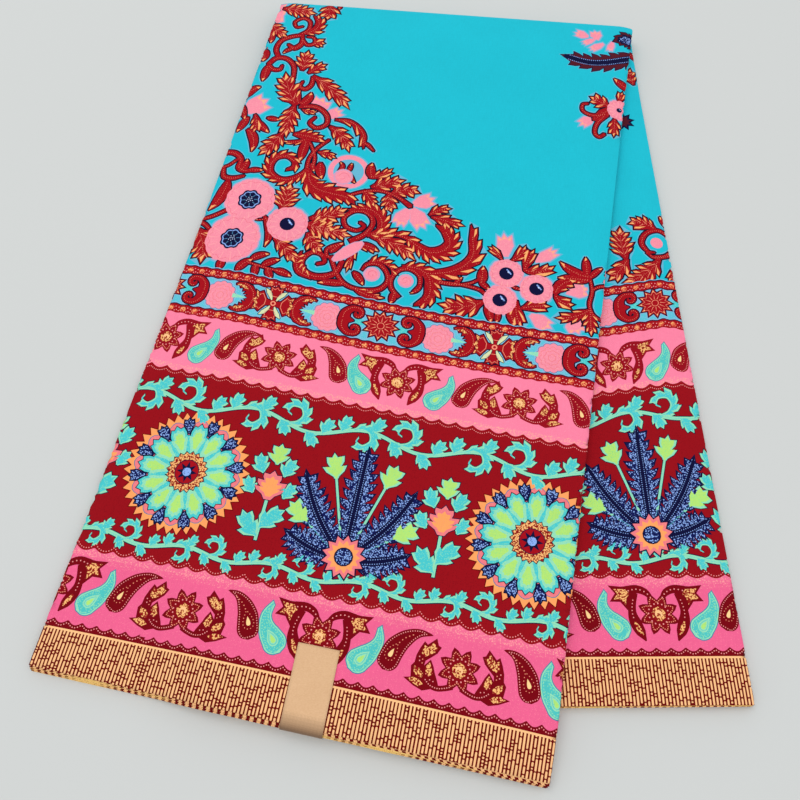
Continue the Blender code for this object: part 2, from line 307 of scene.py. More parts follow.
def moved(shapes, u=0.0, v=0.0, turn=0.0, size=1.0, mirror=False):
    """Shapes turned clockwise by degrees, scaled and set down at a place."""
    c, s = math.cos(math.radians(turn)), math.sin(math.radians(turn))
    result = []
    for ink, outline, layer in shapes:
        x, y = np.asarray(outline, float).T * size
        x = -x if mirror else x
        result.append((ink, np.stack([u + x * c + y * s, v - x * s + y * c], 1), layer))
    return result


def both_sides(half):
    """Shapes and their mirror images across u = 0."""
    return half + moved(half, mirror=True)


def both_ways(half):
    """Shapes and their mirror images across v = 0."""
    return half + [(ink, outline * [1, -1], layer) for ink, outline, layer in half]


def outlined(ink, outline, edge=0.95, halo=1.5):
    """A shape with a dark line round it and a pale halo where its colour has bled."""
    outline = np.asarray(outline, float)
    return [("lavender", grown(outline, halo), 0), ("line", grown(outline, edge), 1), (ink, outline, 2)]


def layered(outline, about, inks, share=0.27):
    """A motif in colours from its edge to its heart, with a thin dark line round it."""
    shapes = [("navy", grown(outline, 0.6), 1)]
    return shapes + [(ink, shrunk(outline, 1.0 - share * k, about), 2 + k) for k, ink in enumerate(inks)]


# Print: motifs of the two pink bands
MAROON_CURLS = {
    "left": [(0, 0), (3.0, 7.5), (8.6, 14.0), (15.6, 18.0), (24.2, 18.6)],
    "right": [(0, 0), (2.4, 7.4), (6.6, 13.8), (11.6, 17.8), (18.2, 19.4)],
}
AQUA_CURLS = {
    "left": [(0, 0), (6.2, 6.4), (9.8, 13.5), (9.0, 22.0)],
    "right": [(0, 0), (6.4, 7.0), (8.8, 14.5), (6.0, 22.8)],
}


def maroon_paisley(curl):
    """Its lobe stands at 0, 0 and its tip sweeps up and over to the right."""
    path, half = teardrop(MAROON_CURLS[curl], 6.8)
    heart = tube(*teardrop([(0.5, 2.6), (2.2, 6.6)], 1.25))
    shapes = [("dark maroon", tube(path, half), 2)]
    shapes += dots(closed(thinner(path, half, 1.25)), 1.45, 0.40, "rose dot", 4)
    shapes += dots(closed(grown(heart, 2.0)), 1.9, 0.36, "salmon", 4)
    shapes += dots(curve([(4.0, 9.6), (7.4, 13.6), (13.0, 17.0)], 3), 2.3, 0.44, "salmon", 4)
    return shapes + [("pale gold", heart, 4)]


def aqua_paisley(curl):
    path, half = teardrop(AQUA_CURLS[curl], 7.0, (1.0, 0.84, 0.56, 0.36, 0.14))
    heart = tube(*teardrop([(0.8, 0.6), (3.4, 3.8)], 1.3))
    shapes = [("slate", grown(tube(path, half), 0.55), 1), ("aqua lime", tube(path, half), 2)]
    shapes += [("sea", thinner(path, half, 0.8), 3), ("aqua lime", grown(heart, 1.9), 4)]
    shapes += dots(closed(thinner(path, half, 1.9)), 1.7, 0.42, "aqua lime", 4)
    return shapes + [ring(grown(heart, 0.9), 0.4, "sea", 4), ("lime", heart, 5)]


def star_flower():
    """Eight pointed petals, a beaded line inside their edge and a bright ring round the eye."""
    reach = 13.2 * np.tile([1.0, 0.84, 0.64, 0.84], 8)
    turn = math.pi / 8 + 2 * math.pi * (np.arange(32) + np.tile([0.0, -0.06, 0.0, 0.06], 8)) / 32
    outline = polar(turn, reach)
    shapes = [("dark maroon", outline, 2), ("mid maroon", shrunk(outline, 0.84, (0, 0)), 3)]
    shapes += dots(closed(shrunk(outline, 0.80, (0, 0))), 1.30, 0.42, "salmon", 4)
    shapes += dots(closed(disc(6.4, 24)), 2.5, 0.55, "rose dot", 4)
    shapes += [("stippled gold", lobed(4.5, 9, 0.20, 3), 4), ("gold", disc(2.4, 10), 5)]
    return shapes + [("stippled gold", disc(1.4, 8, (-0.2, -0.8)), 6)]


def upright_sprig():
    """A star flower over two stems that each carry a three-lobed leaf and, on a neck, a bloom."""
    bloom = [(-21, -1.5), (-27, -0.7), (-26.6, 3.5), (-25, 8), (-23, 12), (-21, 10.4),
             (-16, 15), (-14.4, 11.2), (-12.4, 10.4), (-14.4, 6.6), (-17.5, 3.8), (-20.6, 1.2)]
    leaf_edge = [(-32, -10.2), (-27.8, -9.2), (-28.7, -3), (-27, -0.7), (-21, -1.5), (-17.6, 2.6),
                 (-15.4, -1), (-14.2, -4), (-11.6, -9), (-10.2, -12.4), (-15, -13.6), (-19.8, -15.4),
                 (-25.5, -13.6)]
    patches = (
        [(-23.4, 10.2), (-20.8, 9.0), (-16.6, 13.6), (-15.4, 10.4), (-13.4, 9.9), (-15.4, 6.6), (-18.6, 4.2),
         (-22.0, 2.6), (-24.6, 4.6)],
        [(-30.4, -10.2), (-26.4, -8.6), (-22.0, -9.6), (-19.0, -11.8), (-22.4, -13.8), (-26.0, -12.6)],
        [(-27.4, -2.0), (-23.2, -3.2), (-20.4, -6.2), (-20.6, -8.8), (-24.6, -8.6), (-27.0, -6)],
        [(-18.0, 1.6), (-16.4, -1), (-14.8, -5.4), (-17.0, -7.4), (-19.8, -5.4), (-20.6, -2.0)],
    )
    rows = (  # two ends, spacing, radius and ink of the dots
        ([(-24.8, 4.0), (-24.0, -0.4)], 1.5, 0.45, "rose dot"),
        ([(-22.6, 2.8), (-22.4, -1.4)], 1.7, 0.42, "salmon"),
        ([(-17.4, -8.4), (-13.2, -9.4)], 1.6, 0.42, "rose dot"),
        ([(-20, -5.4), (-16.6, -7)], 1.7, 0.42, "salmon"),
    )
    stem = curve([(-2.5, -9.5), (-7, -11.4), (-11.5, -12.4), (-16, -11.4), (-19.5, -8.6)], 4)
    half = [("dark maroon", edge, 2) for edge in (bloom, leaf_edge, ribbon(stem, (3.6, 3.2, 3.4, 3.0)))]
    half += [("stippled gold", shrunk(patch, 0.84), 3) for patch in patches]
    half += dots(stem[1:], 1.35, 0.42, "rose dot", 4)
    for row in rows:
        half += dots(*row, 4)
    return both_sides(half) + star_flower()


def hanging_sprig():
    """The same flower under two arms that each carry a forked bloom and a drooping leaf."""
    branch = curve([(3, 9), (6.5, 13.2), (12, 15.2), (18.5, 14)], 4)
    bloom = [(15.5, 17.2), (22, 16.8), (30, 17.6), (26, 12.6), (29.8, 7.6), (23.2, 7.4), (18.8, 2), (17.4, 8),
             (14, 11.5)]
    crown = [(18.6, 15.8), (27.6, 16.4), (24.8, 12.5), (28.2, 8.6), (22.4, 8.4), (19.4, 4.4), (18.4, 9.6),
             (15.8, 12.6)]
    fall = curve([(13.6, 13), (15.8, 6), (16.4, 0), (14.6, -6.5), (10.0, -16)], 4)
    droop = ribbon(fall, (4.4, 4.6, 5.2, 7.6, 6.8, 0.8))
    half = [("dark maroon", edge, 2) for edge in (ribbon(branch, (2.6, 4.6, 5.2, 6.4)), bloom, droop)]
    patch = ribbon(curve([(15.6, -4.6), (13.8, -8.4), (11.4, -12.4)], 3), (1.2, 3.0, 0.9))
    half += [("stippled gold", shrunk(crown, 0.84), 3), ("stippled gold", patch, 3)]
    half += dots(branch, 2.3, 0.5, "rose dot", 4) + dots(fall[2:11], 1.9, 0.45, "rose dot", 4)
    return both_sides(half) + star_flower()


# Print: rows of small repeats
BAR_LENGTHS = (0.9, 1.2, 2.4, 4.0, 5.2, 6.6, 8.4, 10.5)
BAR_PITCH, BAR_WIDTH, BAR_GAP = 2.17, 1.2, 0.72


def dash_columns(u0, u1, v0, v1, seed):
    """The woven-looking border: broken gold bars on a dark ground."""
    draw = random.Random(seed)
    shapes = []
    for column in range(int((u1 - u0) / BAR_PITCH) + 1):
        middle = u0 + BAR_PITCH * (column + 0.5)
        v = v1 + 0.3
        while v > v0:
            length = draw.choice(BAR_LENGTHS)
            low, high = max(v - length, v0), v
            v -= length + BAR_GAP
            if high - low < 0.6:
                continue
            half = BAR_WIDTH / 2 * draw.uniform(0.9, 1.08)
            soft = min(0.45, (high - low) / 3)
            corners = ((0.6, low), (1.0, low + soft), (1.0, high - soft), (0.6, high))
            bar = [(middle - half * 0.6, low)] + [(middle + half * k, at) for k, at in corners]
            bar += [(middle - half * k, at) for k, at in reversed(corners[1:])]
            shapes.append(("gold", np.array(bar), 1))
    return shapes


ROPE_END = 325.0
LINK_PITCH = 9.25
BEADS = ((3.4, 1.5), (4.6, -1.3), (5.9, 1.0), (3.0, -1.9), (6.3, -1.9))  # places from a link


def rope(bleeds=True):
    """A cord of speckled links, with beads between two, on a maroon band with a wavy dark edge."""
    low = wave(1.9, lambda u: -3.5 - 0.45 * np.sin(u * 0.68), ROPE_END)
    high = wave(1.9, lambda u: 3.5 + 0.45 * np.sin(u * 0.68 + 1.9), ROPE_END)
    shapes = []
    for by, ink in ((1.25, "lavender"), (0.6, "line"), (-0.25, "maroon")):
        below = by if bleeds else -0.1
        shapes.append((ink, np.concatenate([low - [0, below], (high + [0, by])[::-1]]), 0))
    for i in range(36):
        u = -3.0 + LINK_PITCH * i
        link = lobed(2.5, 5, 0.22, 3, 0.9 * i) * [1.0, 0.90]
        dab = ribbon(bow((-1.3, 1.1 - i % 2), (1.4, 0.9 - i % 2), 0.1), (0.4, 1.1, 0.3))
        shapes += moved([("link", link, 1), ("tip gold", dab, 2)], u, 0.0, -25)
        shapes += [("rose dot", disc(0.52, 4, (u + du, dv)), 1) for du, dv in BEADS]
    return shapes


# Print: the turquoise strip between the two cords
def rosette():
    edge = lobed(12.0, 13, 0.10, 4)
    shapes = [("lavender", grown(edge, 1.2), 0), ("slate", grown(edge, 0.45), 0.1), ("soft pink", edge, 0.2)]
    for share, lobes in ((0.76, 11), (0.5, 8), (0.24, 6)):
        shapes.append(ring(lobed(12.0 * share, lobes, 0.16, 4), 0.42, "coral", 0.3))
    return shapes


def horn(path, width, teeth):
    """A leaf along a path, with teeth on its left that point forward and none on its right."""
    def half(share):
        return width / 2 * np.sin(math.pi * share ** 0.62) ** 0.7

    number = np.arange(teeth)
    plain, notch = (number + 0.5) / teeth, (number + 0.35) / teeth
    shares = np.stack([notch, (number + 0.95) / teeth], 1).ravel()
    reach = np.stack([half(notch) * 0.5, half((number + 0.72) / teeth)], 1).ravel()
    right = side_points(path, np.append(0.0, plain), -np.append(0.12 * width, half(plain) * 0.75))
    left = side_points(path, np.append(0.0, shares), np.append(0.12 * width, reach))
    return np.concatenate([right, path[-1:], left[::-1]])


def crescent():
    """A leaf curled like a moon, its two toothed horns pointing to -u."""
    path = curve([(5.6, -2.0), (4.6, 4.6), (0.6, 8.8), (-4.6, 10.6), (-8.6, 10.4)], 4)
    leaf = horn(path, 10.4, 5)
    leaf[0], leaf[-1] = (7.4, -0.5), (2.6, -0.5)
    half = outlined("maroon", leaf, 0.8, 1.3)
    half.append(("stippled gold", ribbon(path[7:-1] - [0.2, 1.0], (0.5, 2.4, 2.2, 0.4)), 3))
    half += dots(side_points(path, np.linspace(0.05, 0.75, 8), -1.6), 1.5, 0.40, "salmon", 3, 3)
    return both_ways(half) + [("aqua lime", ribbon([(-9.0, 0), (-3.0, 0), (1.2, 0)], (3.8, 2.4, 0.4)), 2)]


def c_scroll():
    """Two curls back to back, opening to -u."""
    stem = curve([(7.0, -0.5), (6.6, 5.4), (2.6, 9.8), (-2.0, 10.2)], 4)
    path = np.concatenate([stem[:-1], spiral((-1.8, 6.4), (-2.0, 10.2), 0.85, 0.22)])
    half = outlined("maroon", ribbon(path, (8.6, 7.6, 5.6, 4.6, 4.2, 3.4, 2.2)))
    half += dots(side_points(path, np.linspace(0.04, 0.9, 16), -0.9), 1.5, 0.38, "salmon", 3, 3)
    eye = ribbon([(-9.5, 0), (-4.5, 0), (0.0, 0)], (2.0, 7.0, 1.0))
    heart = ribbon([(7.0, 0), (3.0, 0), (-0.5, 0)], (6.0, 5.0, 0.6))
    return both_ways(half) + [("aqua", eye, 0.5), ("navy", grown(heart, 0.9), 1), ("maroon", heart, 2)]


def quatrefoil():
    """Four toothed petals round a small eye, with thin pale leaves between them."""
    shapes = []
    for turn in (36, 144, 216, 324):
        pale = ribbon(bow((0, 3), (0, 13.8), 0.07 if turn in (36, 216) else -0.07), (0.8, 2.6, 3.2, 0.4))
        shapes += moved([("navy", grown(pale, 0.5), 2.4), ("cream", pale, 2.5)], turn=turn)
    rim = ((1, 0.62), (0.78, 0.80), (0.95, 0.98), (0.38, 0.88))  # shares of half the width and of the length
    for turn, length, width in ((0, 14.4, 11.5), (180, 14.4, 11.5), (90, 15.2, 17.5), (270, 15.2, 17.5)):
        w = width / 2
        petal = [(-1.6, 0.0), (-2.6, length * 0.35)] + [(-w * k, length * m) for k, m in rim]
        petal += [(0.0, length * 1.04)] + [(w * k, length * m) for k, m in reversed(rim)]
        petal = np.array(petal + [(2.6, length * 0.35), (1.6, 0.0)])
        local = outlined("maroon", petal, 0.8, 1.3)
        local.append(ring(shrunk(petal[1:-1], 0.76, (0, length * 0.56)), 0.42, "salmon", 3))
        if width > length:
            outer, inner = (shrunk(petal[3:10], share, (0, length * 0.5)) for share in (0.94, 0.66))
            local.append(("stippled gold", np.concatenate([outer, inner[::-1]]), 3.1))
        shapes += moved(local, turn=turn)
    return shapes + [("maroon", disc(3.2, 10), 3), ("salmon", disc(2.1, 10), 4), ("maroon", disc(1.1, 8), 5)]


def sunflower():
    """A many-pointed flower, a little wider than tall, each petal with a fine bright edge and a ray."""
    edge = star(12.6, 12, 0.70) * [1.06, 0.98]
    shapes = outlined("maroon", edge, 0.8, 1.3) + [ring(shrunk(edge, 0.86, (0, 0)), 0.42, "salmon", 3)]
    for i in range(12):
        way = along(2 * math.pi * i / 12) * [1.06, 0.98]
        side = np.array([way[1], -way[0]])
        shapes.append(("salmon", np.array([way * 3.6 - side * 0.3, way * 3.6 + side * 0.3, way * 8.2]), 3))
        shapes.append(("gold", np.array([way * 11.8, way * 9.6 - side * 0.8, way * 9.6 + side * 0.2]), 3))
    return shapes + [ring(disc(2.6, 10), 0.45, "salmon", 3)]


# Print: motifs of the turquoise field
HALO, PETAL, LINE, MOTIF, MARK, BLOOM = 2.1, 2.2, 2.3, 2.4, 2.5, 2.6  # layers over the field's ground


def drawn(outline, tips, path):
    """A motif of the field with its bleed, its dark line, its bright tips and a dotted vein."""
    shapes = [("bleed", grown(outline[::2], 1.9), HALO), ("line", grown(outline, 1.05), LINE)]
    shapes += [("leaf maroon", outline, MOTIF)] + [("tip gold", tip, MARK) for tip in tips]
    return shapes + dots(side_points(path, np.linspace(0.06, 0.86, 9), 0.0), 1.75, 0.40, "salmon", MARK, 3)


def leaf(u0, v0, u1, v1, width, bend=0.0, left=0, right=0):
    """A leaf from base to tip. One without teeth has a bright end."""
    path = bow((u0, v0), (u1, v1), bend, 8)
    width = width - 1.3
    tooth = 0.24 * width if left + right else 0.0
    body = width - 0.9 * tooth * ((left > 0) + (right > 0))
    widths = body * np.array((0.3, 0.86, 1.0, 0.9, 0.64, 0.0))
    outline, tips = blade(path, widths, left, right, tooth, 0.14, 0.82)
    end = body * np.array([0.18, 0.0, -0.16, 0.0])
    tips.append(side_points(path, np.array([0.76, 0.97, 0.84, 0.80]), end))
    shapes = drawn(outline, tips, path)
    for side, teeth in ((-1, right), (1, left)):
        for i in range(teeth if width > 11 else 0):
            share = 0.16 + 0.80 * (i + 0.5) / teeth
            ends = np.array([share - 0.10, share + 0.05])
            stroke = side_points(path, ends, side * width * np.array([0.05, 0.24]))
            shapes.append(("salmon", ribbon(stroke, (0.55, 0.2)), MARK))
    return shapes


def arm(places, widths, left=0, right=0, tooth=0.0):
    """A stem, hook or scroll through the places, given as u and v in turn."""
    path = curve(np.reshape(places, (-1, 2)), 4)
    outline, tips = blade(path, np.asarray(widths) * 0.88 - 0.2, left, right, tooth, 0.04, 0.95)
    return drawn(outline, tips, path)


PETAL_EDGE = ((0, 0.3), (0.4, 1.0), (0.88, 0.95), (0.80, 0.45), (1.0, 0.15), (0.82, -0.25), (0.94, -0.8),
              (0.5, -1.0), (0, -0.3))  # shares of the length and of half the width
PETAL_END = ((0.70, 0.8), (0.86, 0.9), (0.76, 0.42), (0.96, 0.15), (0.76, -0.25), (0.90, -0.75), (0.72, -0.7),
             (0.80, 0.1))


def petal(u0, v0, u1, v1, width):
    """A soft petal with a ragged bright end and no dark line."""
    base, tip = np.array([u0, v0], float), np.array([u1, v1], float)
    side = np.array([v0 - v1, u1 - u0]) / np.hypot(*(tip - base)) * width / 2
    outline, end = (
        np.array([base + (tip - base) * along_it + side * across_it for along_it, across_it in rows])
        for rows in (PETAL_EDGE, PETAL_END)
    )
    shapes = [("bleed", grown(outline, 2.0), HALO), ("blush", grown(outline, 0.8), HALO)]
    return shapes + [("soft pink", outline, PETAL), ("peach", end, PETAL)]


def pink_flower(u, v, radius, eye, lobes=0):
    """A round soft flower; a big eye is lobed, a small one plain with a gleam."""
    edge = lobed(radius, 14, 0.035, 4)
    shapes = [("bleed", grown(edge, 2.4), HALO), ("blush", grown(edge, 1.0), PETAL)]
    shapes.append(("soft pink", edge, BLOOM))
    for i in range(14):
        way = along(2 * math.pi * (i + 0.5) / 14)
        shapes.append(("salmon pink", ribbon([way * (eye + 1.6), way * (radius - 0.8)], (0.3, 0.75)), BLOOM))
    shapes.append(ring(lobed(radius * 0.90, 14, 0.10, 4, 0.22), 0.5, "petal line", BLOOM))
    if not lobes:
        shapes.append(("navy", disc(eye, 16), BLOOM))
        for k in range(5):
            place = (eye * (0.02 + 0.14 * k), eye * (0.60 - 0.14 * k))
            shapes.append(("periwinkle", disc(eye * (0.12 + 0.02 * (k % 2)), 5, place), BLOOM))
        shapes.append(("pale blue", disc(eye * 0.14, 6, (eye * 0.26, eye * 0.26)), BLOOM))
        return moved(shapes, u, v)
    petals = lobed(eye, lobes, 0.20, 5, 0.2, 0.7)
    shapes += [("navy", petals, BLOOM), ring(shrunk(petals, 0.80, (0, 0)), 0.85, "periwinkle", BLOOM)]
    for i in range(lobes):
        way = along(2 * math.pi * (i + 0.5) / lobes + 0.2)
        shapes.append(("slate", ribbon([way * eye * 0.36, way * eye * 0.62], (0.7, 0.5)), BLOOM))
    for k in range(9):
        place = eye * 0.1 * math.sqrt(k + 0.3) * along(2.4 * k)
        shapes.append(("pale blue", disc(0.5, 4, place), BLOOM))
    return moved(shapes, u, v)


def plume(points, width, teeth):
    """A dark feather: ragged edge, a navy quill and rows of pale dashes along it."""
    path = curve(points, 4)
    widths = (width * 0.8, width * 0.72, width * 0.66, width * 0.5)
    outline = blade(path, widths, teeth, teeth, width * 0.26, 0.04)[0]
    shapes = [("bleed", grown(outline, 1.2), HALO), ("navy", grown(outline, 0.8), LINE)]
    quill = ribbon(path, (width * 0.5, width * 0.46, width * 0.3))
    shapes += [("brown", outline, MOTIF), ("navy", quill, MARK)]
    for offset in (-0.17, 0.17):
        row = side_points(path, np.linspace(0.02, 0.94, 16), offset * width)
        shapes += dots(row, 1.7, 0.55, "periwinkle", BLOOM)
    return shapes


FLOWERS = [  # u, v, radius, radius of the eye, lobes of the eye
    (33.5, 359, 20, 9.8, 8), (30, 322, 21.5, 9.8, 8), (68.5, 342.5, 16, 6), (241, 335, 12.5, 5.6),
    (265, 326, 12.5, 5.6), (239.5, 311, 12.5, 5.6), (311, 515, 10.5, 2.4),
]
PETALS = [  # u and v of the base, u and v of the tip, width
    (2, 446, 20, 460, 19), (-4, 560, 8, 561, 26), (60, 456, 66, 472, 16), (70, 452, 83, 462, 10),
    (160, 382, 175, 391, 12), (157, 377, 151, 360, 11), (160, 378, 172, 362, 13), (238, 350, 235, 370, 12),
    (261, 350, 276, 363, 9), (264, 303, 279, 294, 11), (287, 328, 303, 333, 12), (293, 307, 299, 294, 13),
    (291, 503, 280, 492, 9), (276, 592, 265, 595, 8), (284, 590, 282, 600, 9), (282, 590, 273, 583, 5),
    (290, 586, 280, 577, 6), (298, 590, 296, 579, 5),
]
ARMS = [  # u and v of places along it, widths along it, teeth on its left and right, their length
    ((46, 303, 60, 301, 82, 299), (2.5, 2.5, 2)), ((-3, 337, 8, 341, 19, 348), (3.6, 4, 4)),
    ((-3, 336, 4, 333, 10, 328), (3.6, 4.2, 3)),
    ((-3, 405, 8, 403, 15, 397, 15, 389, 21, 386, 29, 388), (5, 5.5, 5, 5, 4)),
    ((2, 389, 5, 380, 13, 378, 22, 381), (4, 5, 5, 3)), ((0, 389, 6, 391, 12, 397), (3, 3.4, 3)),
    ((70, 396, 69, 408, 73, 420, 80, 430), (4, 3.4, 3.4, 3)),
    ((74, 398, 73, 410, 68, 420, 62, 428), (3.4, 3.4, 3, 3)),
    ((71, 399, 66, 390, 58, 384, 50, 383, 42, 388,
      40, 396, 43, 404, 51, 407, 58, 403, 59, 397, 55, 393), (4, 5.5, 6.5, 7, 6.5, 5.5, 4.5), 13, 0, 3),
    ((72, 397, 74, 388, 82, 380, 96, 378, 108, 377, 115, 372), (4, 11, 14, 13, 9, 2), 5, 6, 3.4),
    ((107, 378, 118, 385, 131, 389, 145, 387, 158, 380), (3, 3.2, 3.2, 3.2, 5)),
    ((131, 345, 140, 353, 137, 365, 126, 370, 112, 366), (3, 8, 9, 6, 2.5), 0, 9, 3.4),
    ((119, 337, 129, 346, 133, 358, 127, 366, 117, 366,
      110, 358, 113, 350, 122, 348, 127, 353, 123, 356), (5, 5, 4.6, 4.4, 4.2, 4.2, 4, 3.6, 3)),
    ((133, 346, 148, 351, 161, 350, 170, 345), (3.4, 4, 4, 5), 4, 0, 4),
    ((160, 351, 170, 345, 180, 341,
      190, 344, 195, 353, 190, 362, 182, 367), (4, 6.5, 9.5, 12, 11, 9, 3), 0, 11, 4.2),
    ((178, 321, 196, 326, 208, 334, 214, 346, 211, 360, 208, 373), (5, 8, 10, 9, 7, 1.5), 0, 6, 4.2),
    ((163, 324, 175, 325, 184, 320, 187, 311, 187, 301, 179, 293), (3, 6, 9, 10, 9, 3), 8, 0, 3.6),
    ((166, 297, 159, 303, 157, 311, 161, 320,
      169, 323, 177, 319, 179, 311, 175, 304), (3.4, 4.2, 4.2, 4.2, 4.2, 4, 1.6)),
    ((134, 314, 137, 320, 145, 322, 152, 317,
      155, 309, 151, 301, 142, 297, 131, 297), (2, 4.2, 4.2, 4.2, 4.2, 5, 5, 3)),
    ((138, 322, 146, 325, 155, 321, 158, 314), (3, 3.6, 3, 2), 5, 0, 3.4),
    ((118, 319, 115, 307, 104, 301, 93, 303,
      88, 312, 93, 321, 101, 321, 105, 315, 100, 312), (4, 5, 6.5, 6, 5, 4.4, 4, 3)),
    ((99, 299, 88, 303, 84, 312, 86, 320), (3, 6, 5, 2), 0, 5, 3.4),
    ((115, 334, 109, 331, 104, 326, 106, 320, 111, 321), (3, 3.4, 3.6, 3.4, 2.4)),
    ((108, 321, 117, 306, 125, 299, 136, 297, 150, 300), (3.6, 3.8, 3.8, 3.6, 3)),
    ((190, 316, 205, 317, 216, 321, 222, 326), (2.6, 2.8, 2.8, 2.6)),
    ((190, 317, 208, 318, 222, 317, 228, 314), (2.6, 2.8, 3.2, 3.2)),
    ((303, 344, 306, 332, 305, 320, 309, 312, 318, 308), (2.6, 3.2, 3.4, 3, 2.6)),
    ((306, 333, 310, 337, 317, 340), (2.4, 2.8, 3)),
    ((47, 459, 60, 462, 71, 456, 74, 446, 67, 440, 60, 444, 63, 451), (3.4, 5, 5, 4.6, 4.4, 4, 3)),
    ((80, 452, 91, 453, 101, 448, 107, 440, 109, 428), (2.6, 4.5, 4.5, 5, 2), 0, 3, 3),
    ((106, 434, 112, 432, 118, 427), (3, 4, 2)),
    ((50, 494, 51, 485, 47, 479, 42, 481, 43, 487), (3, 4.4, 4.8, 4, 2.4)),
    ((34, 489, 31, 502, 23, 509, 14, 508, 9, 500), (4, 4.6, 4.8, 5, 5)),
    ((9, 499, 14, 495, 20, 496, 21, 501), (5, 5, 4.4, 2.6)),
    ((31, 538, 22, 535, 13, 528, 11, 518, 15, 510), (4, 4.4, 4.6, 4.8, 4.4)),
    ((30, 536, 31, 528, 26, 522, 20, 525), (3.6, 5, 6, 2.8)),
    ((30, 534, 36, 528, 42, 531, 40, 537, 34, 537), (3, 3.8, 3.6, 3.2, 2.2)),
    ((31, 540, 39, 547, 40, 556, 34, 563), (3, 8, 8, 2), 0, 5, 3.2),
    ((26, 537, 33, 545, 32, 555, 25, 558, 19, 552, 22, 546, 27, 548), (3, 4, 4, 3.8, 3.6, 3.2, 2.4)),
    ((302, 508, 290, 504, 281, 507, 280, 514, 284, 516), (6, 5, 3.8, 3.4, 3)),
    ((300, 507, 294, 496, 293, 486, 297, 482, 301, 486), (7, 4.6, 4, 3.8, 3.4)),
    ((305, 516, 298, 508, 291, 500), (6, 11, 5)),
]
